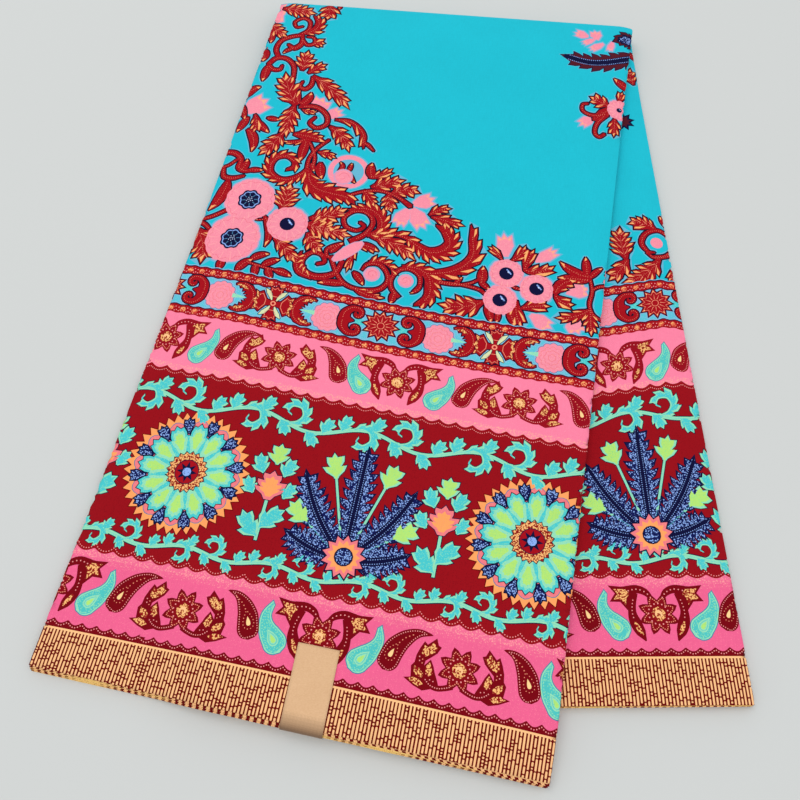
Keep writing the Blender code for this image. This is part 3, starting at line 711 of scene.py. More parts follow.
LEAVES = [  # u and v of the base, u and v of the tip, width, bow, teeth on its left and right
    (61, 354, 61, 381, 20, 0, 4, 4), (83, 345, 106, 345, 22, 0, 3, 3), (84, 351, 111, 367, 16, -0.05, 4, 3),
    (86, 344, 120, 342, 15, 0, 4, 4), (86, 338, 101, 323, 15, -0.08, 3, 3),
    (62, 328, 84, 309, 14, 0.05, 3, 3), (49, 346, 57, 318, 8, 0.14), (50, 343, 43, 341, 3),
    (107, 324, 115, 335, 7, 0.05), (28, 303, 28, 293, 8), (42, 294, 52, 306, 8, 0.1),
    (50, 305, 63, 313, 7, 0.1), (60, 302, 72, 310, 7, 0.05), (55, 302, 57, 291, 7), (64, 301, 70, 291, 7),
    (70, 300, 84, 297, 7, 0.05), (-2, 329, 12, 297, 22, 0.1, 3, 4), (10, 376, 2, 346, 12, 0.1),
    (18, 386, 20, 398, 8, -0.1), (24, 387, 36, 389, 6), (11, 428, 21, 405, 9, 0.15),
    (41, 430, 28, 403, 16, 0.05, 3, 3), (62, 426, 62, 403, 9), (62, 427, 43, 421, 6, 0.1, 2, 0),
    (79, 406, 84, 390, 9, -0.05), (74, 416, 90, 413, 9, 0.05, 2, 2), (72, 404, 76, 396, 6),
    (95, 401, 94, 410, 5, -0.3), (103, 402, 104, 411, 5), (105, 400, 111, 392, 5, -0.1),
    (123, 400, 120, 415, 9, 0.1), (120, 400, 137, 413, 10, -0.1, 2, 1), (124, 391, 149, 404, 15, 0, 3, 2),
    (119, 387, 131, 373, 12, 0, 3, 2), (141, 388, 163, 394, 15, 0.15, 3, 2),
    (139, 388, 145, 371, 14, -0.05, 2, 3), (174, 375, 190, 385, 10, 0.1, 2, 2),
    (176, 374, 203, 371, 12, 0, 2, 3), (134, 345, 172, 331, 16, 0.1, 3, 4),
    (125, 335, 143, 333, 9, 0.1, 0, 2), (124, 336, 123, 309, 8, 0, 2, 2), (128, 311, 138, 301, 7, 0.05),
    (124, 299, 104, 296, 7, -0.05), (131, 298, 156, 294, 8, -0.1, 3, 0), (162, 301, 161, 290, 7),
    (180, 312, 173, 302, 4, 0.15), (228, 307, 195, 298, 19, 0.1, 3, 3), (224, 322, 223, 338, 9),
    (222, 324, 231, 318, 6), (204, 317, 209, 325, 5), (247, 324, 254, 323, 4),
    (236, 346, 224, 356, 8, -0.1, 1, 1), (243, 347, 252, 363, 10, -0.1, 1, 2),
    (254, 340, 259, 361, 11, 0.05, 1, 1), (253, 341, 276, 349, 13, -0.15, 2, 1),
    (252, 313, 259, 291, 12, -0.1, 1, 2), (256, 307, 277, 313, 12, 0.05, 2, 1),
    (230, 305, 236, 290, 8, 0.05), (240, 301, 240, 291, 6), (247, 303, 253, 291, 8, 0.05),
    (279, 324, 294, 339, 12, 0.2, 0, 2), (279, 324, 294, 318, 12, -0.2, 1, 1), (304, 344, 279, 354, 9, 0.1),
    (304, 342, 279, 339, 9), (301, 345, 298, 362, 8), (303, 343, 312, 355, 6, 0.05),
    (303, 341, 294, 337, 6, -0.1), (307, 317, 281, 304, 11, 0.1, 3, 2), (306, 316, 309, 294, 12, 0, 3, 3),
    (77, 444, 99, 421, 15, 0.1, 3, 3), (50, 430, 78, 427, 12, 0.05, 4, 0),
    (43, 460, 45, 425, 17, -0.05, 3, 4), (44, 460, 26, 494, 21, 0.05, 4, 3), (46, 462, 43, 477, 7, 0.1),
    (47, 462, 53, 477, 9, -0.15), (50, 457, 63, 457, 7, -0.1, 2, 2), (50, 495, 89, 465, 16, 0.04, 4, 3),
    (39, 499, 39, 522, 17, 0, 3, 3), (45, 497, 58, 510, 12, 0.05, 2, 2), (9, 499, 9, 480, 9),
    (26, 522, 18, 514, 5, -0.1), (40, 529, 51, 533, 11, 0.1, 1, 2), (-2, 549, 17, 533, 14, -0.1, 3, 3),
    (-1, 538, 4, 524, 8, 0.1), (-2, 516, 3, 503, 12, 0.1), (4, 567, 35, 566, 17, 0, 4, 4),
    (45, 580, 46, 561, 19, 0, 2, 2), (54, 582, 53, 576, 5), (-2, 462, 10, 474, 10, 0.15),
    (-2, 455, 6, 438, 7), (24, 442, 35, 442, 6), (13, 444, 17, 425, 11, 0.1, 1, 2), (14, 438, 30, 427, 8),
    (8, 441, 2, 425, 9), (302, 517, 285, 524, 15, 0, 2, 2), (308, 505, 309, 485, 12, 0, 2, 2),
    (310, 523, 312, 536, 9, 0, 1, 1), (320, 540, 303, 549, 9, 0.05),
]
BACK_ARMS = [  # as ARMS
    ((317, 322, 303, 319, 297, 324), (3.4, 3.4, 2.8)),
    ((317, 340, 309, 345, 299, 342, 294, 333, 298, 325, 303, 324), (3.6, 4, 4.6, 5, 4.4, 1.8)),
    ((317, 326, 310, 321, 300, 320), (2.6, 2.8, 2.8)),
]
BACK_LEAVES = [  # as LEAVES
    (280, 318, 279, 348, 19, 0.05, 4, 4), (307, 346, 286, 351, 14, -0.15, 1, 4),
    (281, 318, 264, 298, 15, 0.05, 2, 2), (306, 318, 274, 296, 17, 0.1, 4, 4), (319, 348, 312, 359, 8),
    (320, 312, 310, 298, 9, 0, 1, 1), (262, 344, 258, 330, 9, 0, 1, 1), (311, 499, 310, 517, 13, 0.1, 2, 2),
    (318, 528, 309, 536, 7),
]


def field(flowers, petals, arms, leaves):
    shapes = []
    for draw, rows in ((petal, petals), (arm, arms), (leaf, leaves), (pink_flower, flowers)):
        for row in rows:
            shapes += draw(*row)
    return shapes


def front_field():
    """What rises over the upper cord on the front leg, from the left edge round to the fold."""
    shapes = field(FLOWERS, PETALS, ARMS, LEAVES)
    hoop = disc(14.5, 28, (103, 402))
    shapes += [("bleed", grown(hoop, 3.5), HALO), ring(hoop, 4.4, "soft pink", PETAL)]
    for u, v, reach in ((100, 396, 6.4), (142, 312, 5.0), (168, 312, 4.6)):
        for ink, radius in (("blush", reach + 1.5), ("soft pink", reach)):
            shapes.append((ink, disc(radius, 16, (u, v)), MOTIF))
        swirl = spiral((u, v), (u + reach * 0.78, v), 1.1, 0.2)
        shapes.append(("petal line", ribbon(swirl, (0.5, 0.7, 0.6, 0.4)), MARK))
    streak = ribbon(bow((129, 338), (111, 318)), (2.0, 7.6, 8.4, 8.4, 7.0, 2.0))
    shapes += [("blush", grown(streak, 0.8), BLOOM), ("soft pink", streak, BLOOM)]
    shapes += plume([(319, 577), (300, 567), (280, 562), (258, 565)], 15.0, 6)
    burr = blade(curve([(319, 596), (308, 596), (300, 592)], 4), (14, 13, 5), 3, 3, 2.6, 0.05)[0]
    shapes += [("navy", grown(burr, 0.8), LINE), ("brown", burr, MOTIF)]
    return shapes + [("navy", shrunk(burr, 0.74), MARK), ("stippled navy", shrunk(burr, 0.52), BLOOM)]


def back_field():
    shapes = field([], [(263, 272, 257, 282, 9)], BACK_ARMS, BACK_LEAVES)
    burr = star(10.5, 9, 0.62, (296, 457))
    shapes += [("soft pink", disc(5.0, 14, (306, 333)), MOTIF), ("navy", burr, MOTIF)]
    return shapes + [("brown", shrunk(burr, 0.66), MARK)]


# Print: the wide maroon band, in a layout of its own
WIDE_PERIOD = 231.0


def pale_leaf(path, widths, left=0, right=0, tooth=2.4, ink="aqua"):
    """A leaf or a stem of the vines: a dark line, a light rim and a brighter middle."""
    path = np.asarray(path, float)
    outline = blade(path, widths, left, right, tooth, 0.08, 0.86)[0]
    inner = blade(path, np.maximum(np.asarray(widths) - 2.4, 0.2), left, right, tooth * 0.8, 0.10, 0.84)[0]
    return [("navy", grown(outline, 0.6), 0), ("aqua lime", outline, 1), (ink, inner, 2)]


def curled_leaf():
    path = curve([(0, 0), (8, 3), (12, 10), (8, 17.5), (-1, 17), (-3.6, 10), (0.5, 7.6)], 4)
    return pale_leaf(path, (2.0, 3.6, 5.0, 5.4, 4.6, 3.6, 2.4), 0, 6, 4.0)


def pointed_leaf(length=15.0, width=7.5):
    path = bow((0, 0), (0, length), 0.06)
    return pale_leaf(path, (1.6, width * 0.8, width, width * 0.7, width * 0.3), 2, 2, 0.38 * width)


VINE_LEAVES = (  # share of the wave, turn from it in degrees, kind, whether it is mirrored
    (0.03, 20, pointed_leaf, False),
    (0.12, 135, curled_leaf, True),
    (0.30, 30, pointed_leaf, False),
    (0.47, 150, pointed_leaf, False),
    (0.54, 5, curled_leaf, False),
    (0.72, 140, pointed_leaf, False),
    (0.86, 30, pointed_leaf, False),
)


def vine(level, swing, wave_length, size):
    """One wave of a stem with curled leaves and straight leaves on both sides, from u = 0."""
    u = np.arange(0.0, wave_length + 1.0, wave_length / 16)
    path = np.stack([u, level + swing * np.sin(2 * math.pi * u / wave_length)], 1)
    shapes = pale_leaf(path, (2.6, 2.6))
    for share, turn, kind, mirror in VINE_LEAVES:
        place = side_points(path, np.array([share]), 0.0)[0]
        shapes += moved(kind(), *place, turn, size, mirror)
    return shapes


def round_bloom():
    """A bloom in rings: a spiky rim, twelve toothed petals, a speckled collar and a starred eye."""
    shapes = [("ground maroon", star(48.6, 40, 0.90), 0), ("orange", star(47.6, 40, 0.89), 1)]
    shapes += [("slate", lobed(41.6, 24, 0.06, 4), 1), ("coral", lobed(41.0, 24, 0.06, 4), 1)]
    edge = blade(bow((0, 8), (0, 37)), (5.0, 8.0, 12.0, 13.4, 9.6, 3.0), 2, 2, 2.4, 0.40, 0.94)[0]
    barb = blade(bow((0, 31), (0, 42)), (0.8, 4.0, 5.0, 2.0), 1, 1, 1.8, 0.3, 0.9)[0]
    for i in range(12):
        shapes += moved(layered(edge, (0, 27), ("aqua", "aqua lime", "lime")), turn=30 * i)
        shapes += moved([("navy", grown(barb, 1.0), 2), ("stippled navy", barb, 3)], turn=30 * i + 15)
    shapes += [("navy", star(16.6, 20, 0.86), 5), ("stippled gold", star(15.8, 20, 0.86), 6)]
    shapes += [("navy", disc(9.6, 18), 7), ("maroon", disc(9.0, 18), 8)]
    return shapes + [("navy", star(8.2, 8, 0.5), 9), ("periwinkle", disc(3.4, 10), 10)]


def feather(length, width, bend, teeth):
    """A plume with stippled teeth, a dark quill and pale dots along it."""
    path = bow((0, 8), (0, length), bend, 12)
    widths = width * 0.56 * np.array((0.5, 0.9, 1.0, 0.94, 0.72, 0.1))
    outline = blade(path, widths, teeth, teeth, width * 0.34, 0.08, 0.92)[0]
    shapes = [("navy", grown(outline, 1.1), 1), ("stippled navy", outline, 2)]
    shapes.append(("navy", ribbon(path, widths * 0.62), 3))
    for side in (-1, 1):
        row = side_points(path, np.linspace(0.06, 0.86, 12), side * width * 0.09)
        shapes += dots(row, 1.7, 0.46, "periwinkle", 4)
    return shapes


def fan():
    """Five plumes over a bud, with lime leaves on stems between them."""
    shapes = []
    for turn, length in ((-72, 48), (-34, 76), (0, 92), (34, 76), (72, 48)):
        shapes += moved(feather(length, 18.0, 0.06 * (turn < 0) - 0.06 * (turn > 0), 9), turn=turn)
    for turn, length in ((-53, 44), (-17, 68), (17, 68), (53, 44)):
        shapes += moved(pale_leaf(bow((0, 10), (0, length)), (1.8, 1.8)), turn=turn)
        path = bow((0, length - 4), (0, length + 16))
        shapes += moved(pale_leaf(path, (3.0, 7.0, 9.0, 6.0, 2.4), 2, 2, 4.6, "lime"), turn=turn)
    bud = star(16.0, 13, 0.74, (0, 4.0))
    shapes += [("navy", grown(bud, 1.0), 5), ("coral", bud, 6), ("orange", shrunk(bud, 0.76, (0, 4.0)), 7)]
    return shapes + [("navy", disc(7.0, 14, (0, 4.0)), 8), ("stippled navy", disc(6.0, 14, (0, 4.0)), 9)]


def bud_on_stem():
    """An orange bloom on a pale stem between leaves, with loose leaves over it."""
    shapes = pale_leaf(bow((0, -30), (0, 4)), (2.2, 2.2))
    for way in (-1, 1):
        shapes += moved(pointed_leaf(21.0, 9.0), 0, -24 + 3 * way, 42 * way)
        shapes += moved(pointed_leaf(15.0, 7.5), 7.5 * way, 19, 22 * way)
        shapes += moved(pointed_leaf(13.0, 7.0), 11.0 * way, 3, 30 * way)
    edge = blade(bow((0, 0), (0, 21)), (5.0, 12.0, 14.0, 9.0, 3.0), 3, 3, 4.4, 0.16, 0.9)[0]
    shapes += layered(edge, (0, 8), ("coral", "orange"), 0.3)
    return shapes + pale_leaf(bow((0, 27), (0, 43)), (2.0, 6.0, 8.0, 6.0, 2.0), 2, 2, 4.4, "lime")


def on_cloth(shapes):
    """The shapes that reach the strip."""
    return [row for row in shapes if row[1][:, 0].max() > PRINT_LEFT and row[1][:, 0].min() < PRINT_RIGHT]


def wide_band(phase):
    """Blooms and fans in turn between two vines, all on the maroon ground."""
    shapes = []
    for k in (-1, 0, 1, 2):
        start = phase + k * WIDE_PERIOD
        for i in range(3):
            shapes += moved(vine(187.0, 4.6, WIDE_PERIOD / 3, 0.84), start + (i + 0.2) * WIDE_PERIOD / 3)
        for i in range(4):
            shapes += moved(vine(87.5, 2.4, WIDE_PERIOD / 4, 0.58), start + i * WIDE_PERIOD / 4)
        shapes += moved(round_bloom(), start, 138.0, 0, 0.90)
        shapes += moved(fan(), start + WIDE_PERIOD / 2, 100.0, 0, 0.88)
        for way in (-1, 1):
            shapes += moved(bud_on_stem(), start + WIDE_PERIOD / 2 + 57.5 * way, 130.0, 0, 0.92)
    return [(ink, outline, 1.05 + layer / 20) for ink, outline, layer in on_cloth(shapes)]


# Print: the whole of one leg, from the selvage up
SPRIG_PERIOD = 172.0
LOWER_LOBES = {"left": ((-42.6, -2.4), (-60.2, -7.0)), "right": ((42.6, -2.4), (60.2, -7.0))}
UPPER_LOBES = {"left": ((-40.2, -4.8), (-58.8, -10.0)), "right": ((44.2, -4.2), (61.6, -8.6))}
STRIP_PERIOD = 164.6
STRIP_MOTIFS = (  # motif, place in its repeat, level, whether it is mirrored
    (rosette, -46.0, 273.8, False),
    (rosette, 36.5, 273.8, False),
    (quatrefoil, -5.0, 275.2, False),
    (crescent, -27.5, 275.0, False),
    (crescent, 17.5, 275.0, True),
    (sunflower, 76.0, 275.4, False),
    (c_scroll, 55.5, 275.2, True),
    (c_scroll, 97.0, 275.2, False),
)
REDDER = {"dark maroon": "red maroon", "mid maroon": "red maroon"}  # inks of the upper pink band


def pink_row(phase, middle, hanging_middle, lobes):
    """Sprigs and paisleys along one pink band. The lobes are places of the paisleys from an upright sprig."""
    shapes = []
    for k in range(-1, 3):
        start = phase + k * SPRIG_PERIOD
        shapes += moved(upright_sprig(), start, middle)
        shapes += moved(hanging_sprig(), start + SPRIG_PERIOD / 2, hanging_middle)
        for curl, places in lobes.items():
            for draw, (du, dv) in zip((maroon_paisley, aqua_paisley), places):
                shapes += moved(draw(curl), start + du, middle + dv, mirror=curl == "right")
    return [(ink, outline, layer + 2) for ink, outline, layer in shapes]


def border(phase, upper_phase, upper_middle, strip_phase, seed):
    """Everything below the turquoise field. The phases place the large repeats across the cloth."""
    shapes = [("ground maroon", block(-4, 27.6), 0)] + dash_columns(-4, 319, 1.0, 27.2, seed)
    shapes += [("gold", block(27.3, 28.5), 1), ("dark maroon", block(28.1, 30.8), 0)]
    shapes.append(("pink", block(30.2, 78.0), 0))
    shapes.append(("dotted pink", under(wave(2.2, lambda u: 69.0 + 0.7 * np.sin(1.3 * u)), 78.0), 0))
    shapes.append(("flecked pink", under(wave(2.2, lambda u: 72.0 + 0.6 * np.sin(1.1 * u + 2)), 78.0), 0))
    lace = wave(0.9, arches(9.1, 5.0, 31.4, 33.8))
    shapes.append(("dark maroon", under(lace, 29.6), 1))
    shapes += dots(lace - [0, 1.5], 1.65, 0.45, "rose dot", 2)
    shapes += pink_row(phase - 0.6, 52.0, 53.5, LOWER_LOBES)

    lace = wave(0.9, arches(12.4, 1.0, 75.2, 77.6))
    shapes.append(("band maroon", under(lace, 212.0), 1))
    lift = 1.5 + 1.3 * (1 - np.abs(np.sin(math.pi * (lace[:, 0] - 1.0) / 12.4))) ** 3
    shapes += dots(lace + np.stack([0 * lift, lift], 1), 1.7, 0.42, "rose dot", 2)
    shapes += wide_band(phase - 27.0)

    shapes.append(("flecked light pink", under(wave(0.9, arches(11.6, 4.0, 208.4, 211.2)), 256.0), 2))
    shapes.append(("light pink", under(wave(2.4, lambda u: 213.6 + 0.5 * np.sin(0.9 * u)), 256.0), 2.2))
    shapes += dots(wave(0.9, arches(11.6, 4.0, 206.2, 208.4)), 1.5, 0.42, "rose dot", 2)
    for ink, outline, layer in pink_row(upper_phase, upper_middle, upper_middle - 1.0, UPPER_LOBES):
        shapes.append((REDDER.get(ink, ink), outline, layer))

    shapes.append(("strip turquoise", block(257, 290), 2))
    strip = []
    for k in range(-1, 3):
        for draw, place, level, mirror in STRIP_MOTIFS:
            strip += moved(draw(), strip_phase + k * STRIP_PERIOD + place, level, mirror=mirror)
    strip += moved(rope(), v=291.2) + moved(rope(bleeds=False), u=-4.0, v=257.2)
    return shapes + [(ink, outline, layer + 3) for ink, outline, layer in strip]


def sag(u, v):
    """The front leg's upper bands sag towards their middle, and its lowest ones droop at their ends."""
    share = np.clip((v - 80.0) / 190.0, 0.0, 1.0)
    low = np.clip(v / 24.0, 0.0, 1.0) * np.clip((84.0 - v) / 30.0, 0.0, 1.0)
    droop = 1.5 * low * ((u - 165.0) / 155.0) ** 2
    return v - droop - share * (4.0 * np.sin(math.pi * u / WIDTH) + 2.0 * u / WIDTH)


def tilt(u, v):
    """The back leg's bands climb towards its outer edge, where they dip again."""
    share = np.clip((v - 76.0) / 150.0, 0.0, 1.0)
    return v + share * (0.17 * (u - 278.0) - 0.28 * np.maximum(u - 301.0, 0.0))


def whole_print(bands, bend, motifs):
    """The turquoise ground, the bands with their v bent by a function of u and v, and the field's motifs."""
    bent = [(ink, np.stack([o[:, 0], bend(o[:, 0], o[:, 1])], 1), layer) for ink, o, layer in bands]
    return [("turquoise", block(-6, 700), -1)] + bent + motifs


# Form: the two legs, in metres, from the same few sizes as the solids
STRIP_WIDTH = 0.315
FRONT_EDGE, BACK_EDGE = 0.579, 0.563  # lengths of the two outer side edges
FRONT_TURN, BACK_TURN, FOLD_TURN = math.radians(8.1), math.radians(-3.9), math.radians(0.9)
CLOTH = 0.0012
GAP = 0.0003
STACK_AT_SELVAGE, STACK_AT_FOLD = 0.0048, 0.0064
STACK_FADE = 0.30
FOLD_INNER_RADIUS = 0.0009
EDGE_FALL, EDGE_DROP = 0.014, 0.26
END_FALL, END_DROP = 0.009, 0.14
ROUNDING_TURNS = 0.030
TUCK_END, TUCK_FLAT, TUCK_FADE = 0.016, 0.022, 0.052
DRAPE_START, DRAPE_LENGTH = 0.005, 0.055
SWELL = 0.0007
SWELL_RATES = ((5.1, 2.3), (-3.9, 7.7))
SWELL_PHASE = {"front": 0.0, "back": 1.7}
FRONT_PANEL_SETBACK, BACK_PANEL_SETBACK = 0.0030, 0.0008
BACK_PANEL_START = 0.0035
SOLVER_STEPS = 4


def across(turn):
    return np.array([math.cos(turn), -math.sin(turn)])


def smooth(value):
    value = np.clip(value, 0.0, 1.0)
    return value * value * (3.0 - 2.0 * value)


STACK_RADIUS = FOLD_INNER_RADIUS + STACK_AT_FOLD
OUTER_RADIUS = STACK_RADIUS + GAP + CLOTH
FOLD_NORMAL = along(FOLD_TURN)
FOLD_LEFT = np.array([0.0, 0.0])
FOLD_RIGHT = FOLD_LEFT + STRIP_WIDTH / math.cos((FRONT_TURN - BACK_TURN) / 2) * across(FOLD_TURN)
FRONT_LEFT = FOLD_LEFT - FRONT_EDGE * along(FRONT_TURN)
FRONT_RIGHT = FRONT_LEFT + STRIP_WIDTH * across(FRONT_TURN)
BACK_RIGHT = FOLD_RIGHT - BACK_EDGE * along(BACK_TURN)
BACK_LEFT = BACK_RIGHT - STRIP_WIDTH * across(BACK_TURN)
AXIS_LEFT = FOLD_LEFT - OUTER_RADIUS * FOLD_NORMAL
AXIS_RIGHT = FOLD_RIGHT - OUTER_RADIUS * FOLD_NORMAL
LEG_ENDS = {"front": (FRONT_LEFT, FRONT_RIGHT), "back": (BACK_LEFT, BACK_RIGHT)}


def between(start, end, share):
    return start + (end - start) * np.asarray(share, float)[..., None]


def plan(leg, s, t):
    """Place in plan, with t from 0 at the fold's axis to 1 at the selvage."""
    return between(between(AXIS_LEFT, AXIS_RIGHT, s), between(*LEG_ENDS[leg], s), t)


def leg_length(leg, s):
    """From the fold's axis to the selvage line, at s."""
    return np.linalg.norm(plan(leg, s, 0.0 * s + 1.0) - plan(leg, s, 0.0 * s), axis=-1)


def from_axis(place):
    return -((place - AXIS_LEFT) @ FOLD_NORMAL)


def stack_height(distance):
    spring = (1.0 - smooth(distance / STACK_FADE)) ** 2
    return STACK_AT_SELVAGE + (STACK_AT_FOLD - STACK_AT_SELVAGE) * spring


def tuck_lift(distance):
    return (CLOTH + GAP) * (1.0 - smooth((distance - TUCK_FLAT) / TUCK_FADE))


def drape(place):
    """1 where the front leg lies on the back leg, 0 where it has reached the floor."""
    side = BACK_LEFT - AXIS_LEFT
    side = side / np.linalg.norm(side)
    past_side = (place - AXIS_LEFT) @ np.array([side[1], -side[0]])
    past_end = (place - BACK_LEFT) @ -along(BACK_TURN)
    off_side, off_end = (smooth((past - DRAPE_START) / DRAPE_LENGTH) for past in (past_side, past_end))
    return (1.0 - off_side) * (1.0 - off_end)


def back_place(place):
    """The back leg's own s and t under a place in plan, kept on the leg."""
    s = np.full(place.shape[:-1], 0.5)
    for _ in range(SOLVER_STEPS):
        near_fold, near_end = between(AXIS_LEFT, AXIS_RIGHT, s), between(BACK_LEFT, BACK_RIGHT, s)
        run = near_end - near_fold
        t = np.sum((place - near_fold) * run, -1) / np.sum(run * run, -1)
        left = between(AXIS_LEFT, BACK_LEFT, t)
        width = between(AXIS_RIGHT, BACK_RIGHT, t) - left
        s = np.sum((place - left) * width, -1) / np.sum(width * width, -1)
    return np.clip(s, 0.0, 1.0), np.clip(t, 0.0, 1.0)


def front_base(place):
    distance = from_axis(place)
    below = tuck_lift(distance) + stack_height(distance) + swell("back", *back_place(place))
    return drape(place) * (below + CLOTH + 2 * GAP)


def crown(s, t):
    """Share of the height that is left near the side folds and the selvage."""
    from_side = np.minimum(s, 1.0 - s) * STRIP_WIDTH
    from_end = (1.0 - t) * FRONT_EDGE
    side = EDGE_DROP * np.clip(1.0 - from_side / EDGE_FALL, 0.0, 1.0) ** 2
    end = END_DROP * np.clip(1.0 - from_end / END_FALL, 0.0, 1.0) ** 2
    return 1.0 - side - end


def swell(leg, s, t):
    """Soft uneven swells, none at the fold, the selvage or the sides."""
    phase = SWELL_PHASE[leg]
    inner = np.sin(math.pi * np.clip(s, 0.0, 1.0)) * np.sin(math.pi * np.clip(t, 0.0, 1.0))
    height = 0.0
    for share, (along_it, across_it) in zip((1.0, 0.6), SWELL_RATES):
        height = height + share * np.sin(along_it * t + across_it * s + phase / share)
    return SWELL * inner * height


def leg_point(leg, s, t, level, lift=0.0):
    """level is the share of the stack's height from its inner face, lift is added outside it."""
    place = plan(leg, s, t)
    distance = from_axis(place)
    full = stack_height(distance)
    drop = full * (1.0 - crown(s, t))
    if leg == "front":
        z = front_base(place) + level * (full - drop + swell(leg, s, t)) + lift
    else:
        turned = smooth(distance / ROUNDING_TURNS)
        top = tuck_lift(distance) + full - drop * turned + swell(leg, s, t)
        bottom = tuck_lift(distance) + drop * (1.0 - turned)
        z = top - level * (top - bottom) - lift
    return np.concatenate([place, np.asarray(z)[..., None]], -1)


def fold_point(s, angle, level, lift=0.0):
    """angle runs from 0 on top of the fold to pi under it."""
    s, angle, lift = np.broadcast_arrays(*(np.asarray(row, float) for row in (s, angle, lift)))
    radius = FOLD_INNER_RADIUS + level * STACK_AT_FOLD * crown(s, np.zeros_like(s)) + lift
    place = between(AXIS_LEFT, AXIS_RIGHT, s) + FOLD_NORMAL * (radius * np.sin(angle))[..., None]
    z = GAP + CLOTH + STACK_RADIUS + radius * np.cos(angle)
    return np.concatenate([place, z[..., None]], -1)


def by_run(past, on_front, on_fold, on_back):
    """Each point from the front leg, the fold or the back leg, by how far it is past the fold's start."""
    past = past[..., None]
    return np.where(past <= 0.0, on_front, np.where(past <= FOLD_ARC, on_fold, on_back))


# Form: the outermost lap, a thin cloth that is folded under along both sides
THIN = 0.00042  # the cloth itself
SIDE_FOLD = 0.00050  # outer radius of a side fold
SIDE_TUCK = 0.005  # cloth turned under along each side
TOP = GAP + CLOTH  # height of the printed face over the stack of laps
FOLD_ARC = math.pi * OUTER_RADIUS


def round_side(u, lift):
    """s and lift of a point u metres across, turned under where it passes a side fold."""
    u = np.asarray(u, float)
    past = np.maximum(SIDE_FOLD - u, u - (STRIP_WIDTH - SIDE_FOLD))
    outward = np.where(u < STRIP_WIDTH / 2, -1.0, 1.0)
    edge = np.where(u < STRIP_WIDTH / 2, SIDE_FOLD, STRIP_WIDTH - SIDE_FOLD)
    angle = np.clip(past / SIDE_FOLD, 0.0, math.pi)
    back_in = np.maximum(past - math.pi * SIDE_FOLD, 0.0)
    radius = SIDE_FOLD - (TOP - lift)
    turned = edge + outward * (radius * np.sin(angle) - back_in)
    flat = past <= 0.0
    height = TOP - SIDE_FOLD + radius * np.cos(angle)
    return np.where(flat, u, turned) / STRIP_WIDTH, np.where(flat, lift, height)


def front_surface(u, v, lift):
    """A point of the front lap: v metres from the selvage line, over the top fold and under it."""
    s, lift = round_side(u, lift)
    length = leg_length("front", s)
    past = v - length
    on_leg = leg_point("front", s, np.clip(1.0 - v / length, 0.0, 1.2), 1.0, lift)
    on_fold = fold_point(s, np.clip(past / OUTER_RADIUS, 0.0, math.pi), 1.0, lift)
    tuck = leg_point("back", s, np.maximum(past - FOLD_ARC, 0.0) / BACK_EDGE, 1.0, lift)
    return by_run(past, on_leg, on_fold, tuck)


def back_surface(u, v, lift):
    """A point of the back leg's top lap."""
    s, lift = round_side(u, lift)
    return leg_point("back", s, 1.0 - v / leg_length("back", s), 0.0, -lift)


# Meshing: the flat print is cut into triangles of one ink each, then laid on the form
WIDTH = STRIP_WIDTH * 1000  # of the flat cloth between its side folds, in millimetres
GROUND = -1  # the layer of the ground, which isn't cut
CELL = 5.0  # side of the squares that points are sorted into
TESTS_AT_ONCE = 4_000_000  # of a point against a line, to spare memory
LARGE = 0.5  # twice the area over which a triangle is looked at near its corners too
SNAP = 0.01  # points nearer than this become one
SLANT_START = 380.0  # from here up, rows turn towards the slanting top fold


def inside(outline, points):
    """Whether each point lies in the outline, which may cross itself."""
    x, y = outline.T
    x2, y2 = np.roll(outline, -1, 0).T
    px, py = points[:, 0, None], points[:, 1, None]
    left = (x2 - x) * (py - y) - (px - x) * (y2 - y)
    up = (y <= py) & (y2 > py) & (left > 0)
    down = (y > py) & (y2 <= py) & (left < 0)
    return up.sum(1) != down.sum(1)


def topmost(shapes, points):
    """Index of the shape that shows at each point."""
    low = points.min(0)
    place = ((points - low) / CELL).astype(int)
    wide, high = place[:, 0].max() + 2, place[:, 1].max()
    key = place[:, 1] * wide + place[:, 0]
    order = np.argsort(key, kind="stable")
    starts = np.searchsorted(key[order], np.arange(wide * (high + 2)))
    shown = np.zeros(len(points), int)
    for i in sorted(range(len(shapes)), key=lambda i: (shapes[i][2], i)):
        outline = shapes[i][1]
        first = np.maximum(((outline.min(0) - low) / CELL).astype(int), 0)
        last = np.minimum(((outline.max(0) - low) / CELL).astype(int), [wide - 2, high])
        if (last < first).any():
            continue
        rows = wide * np.arange(first[1], last[1] + 1)
        near = np.concatenate([order[starts[r + first[0]]:starts[r + last[0] + 1]] for r in rows])
        for part in np.array_split(near, max(1, len(near) * len(outline) // TESTS_AT_ONCE)):
            if len(part):
                shown[part[inside(outline, points[part])]] = i
    return shown


def shown_on(shapes, corners):
    """Index of the shape that shows on most of each triangle."""
    middles = corners.mean(1)
    shown = topmost(shapes, middles)
    one, other = corners[:, 1] - corners[:, 0], corners[:, 2] - corners[:, 0]
    large = np.flatnonzero(np.abs(one[:, 0] * other[:, 1] - one[:, 1] * other[:, 0]) > LARGE)
    near_corners = 0.35 * middles[large, None] + 0.65 * corners[large]
    a, b, c = topmost(shapes, near_corners.reshape(-1, 2)).reshape(-1, 3).T
    shown[large] = np.where((a == b) | (a == c), a, np.where(b == c, b, shown[large]))
    return shown


def nearest(flat, places):
    """Number of the flat point nearest to each place."""
    return np.array([int(np.argmin(np.sum((flat - place) ** 2, 1))) for place in places])


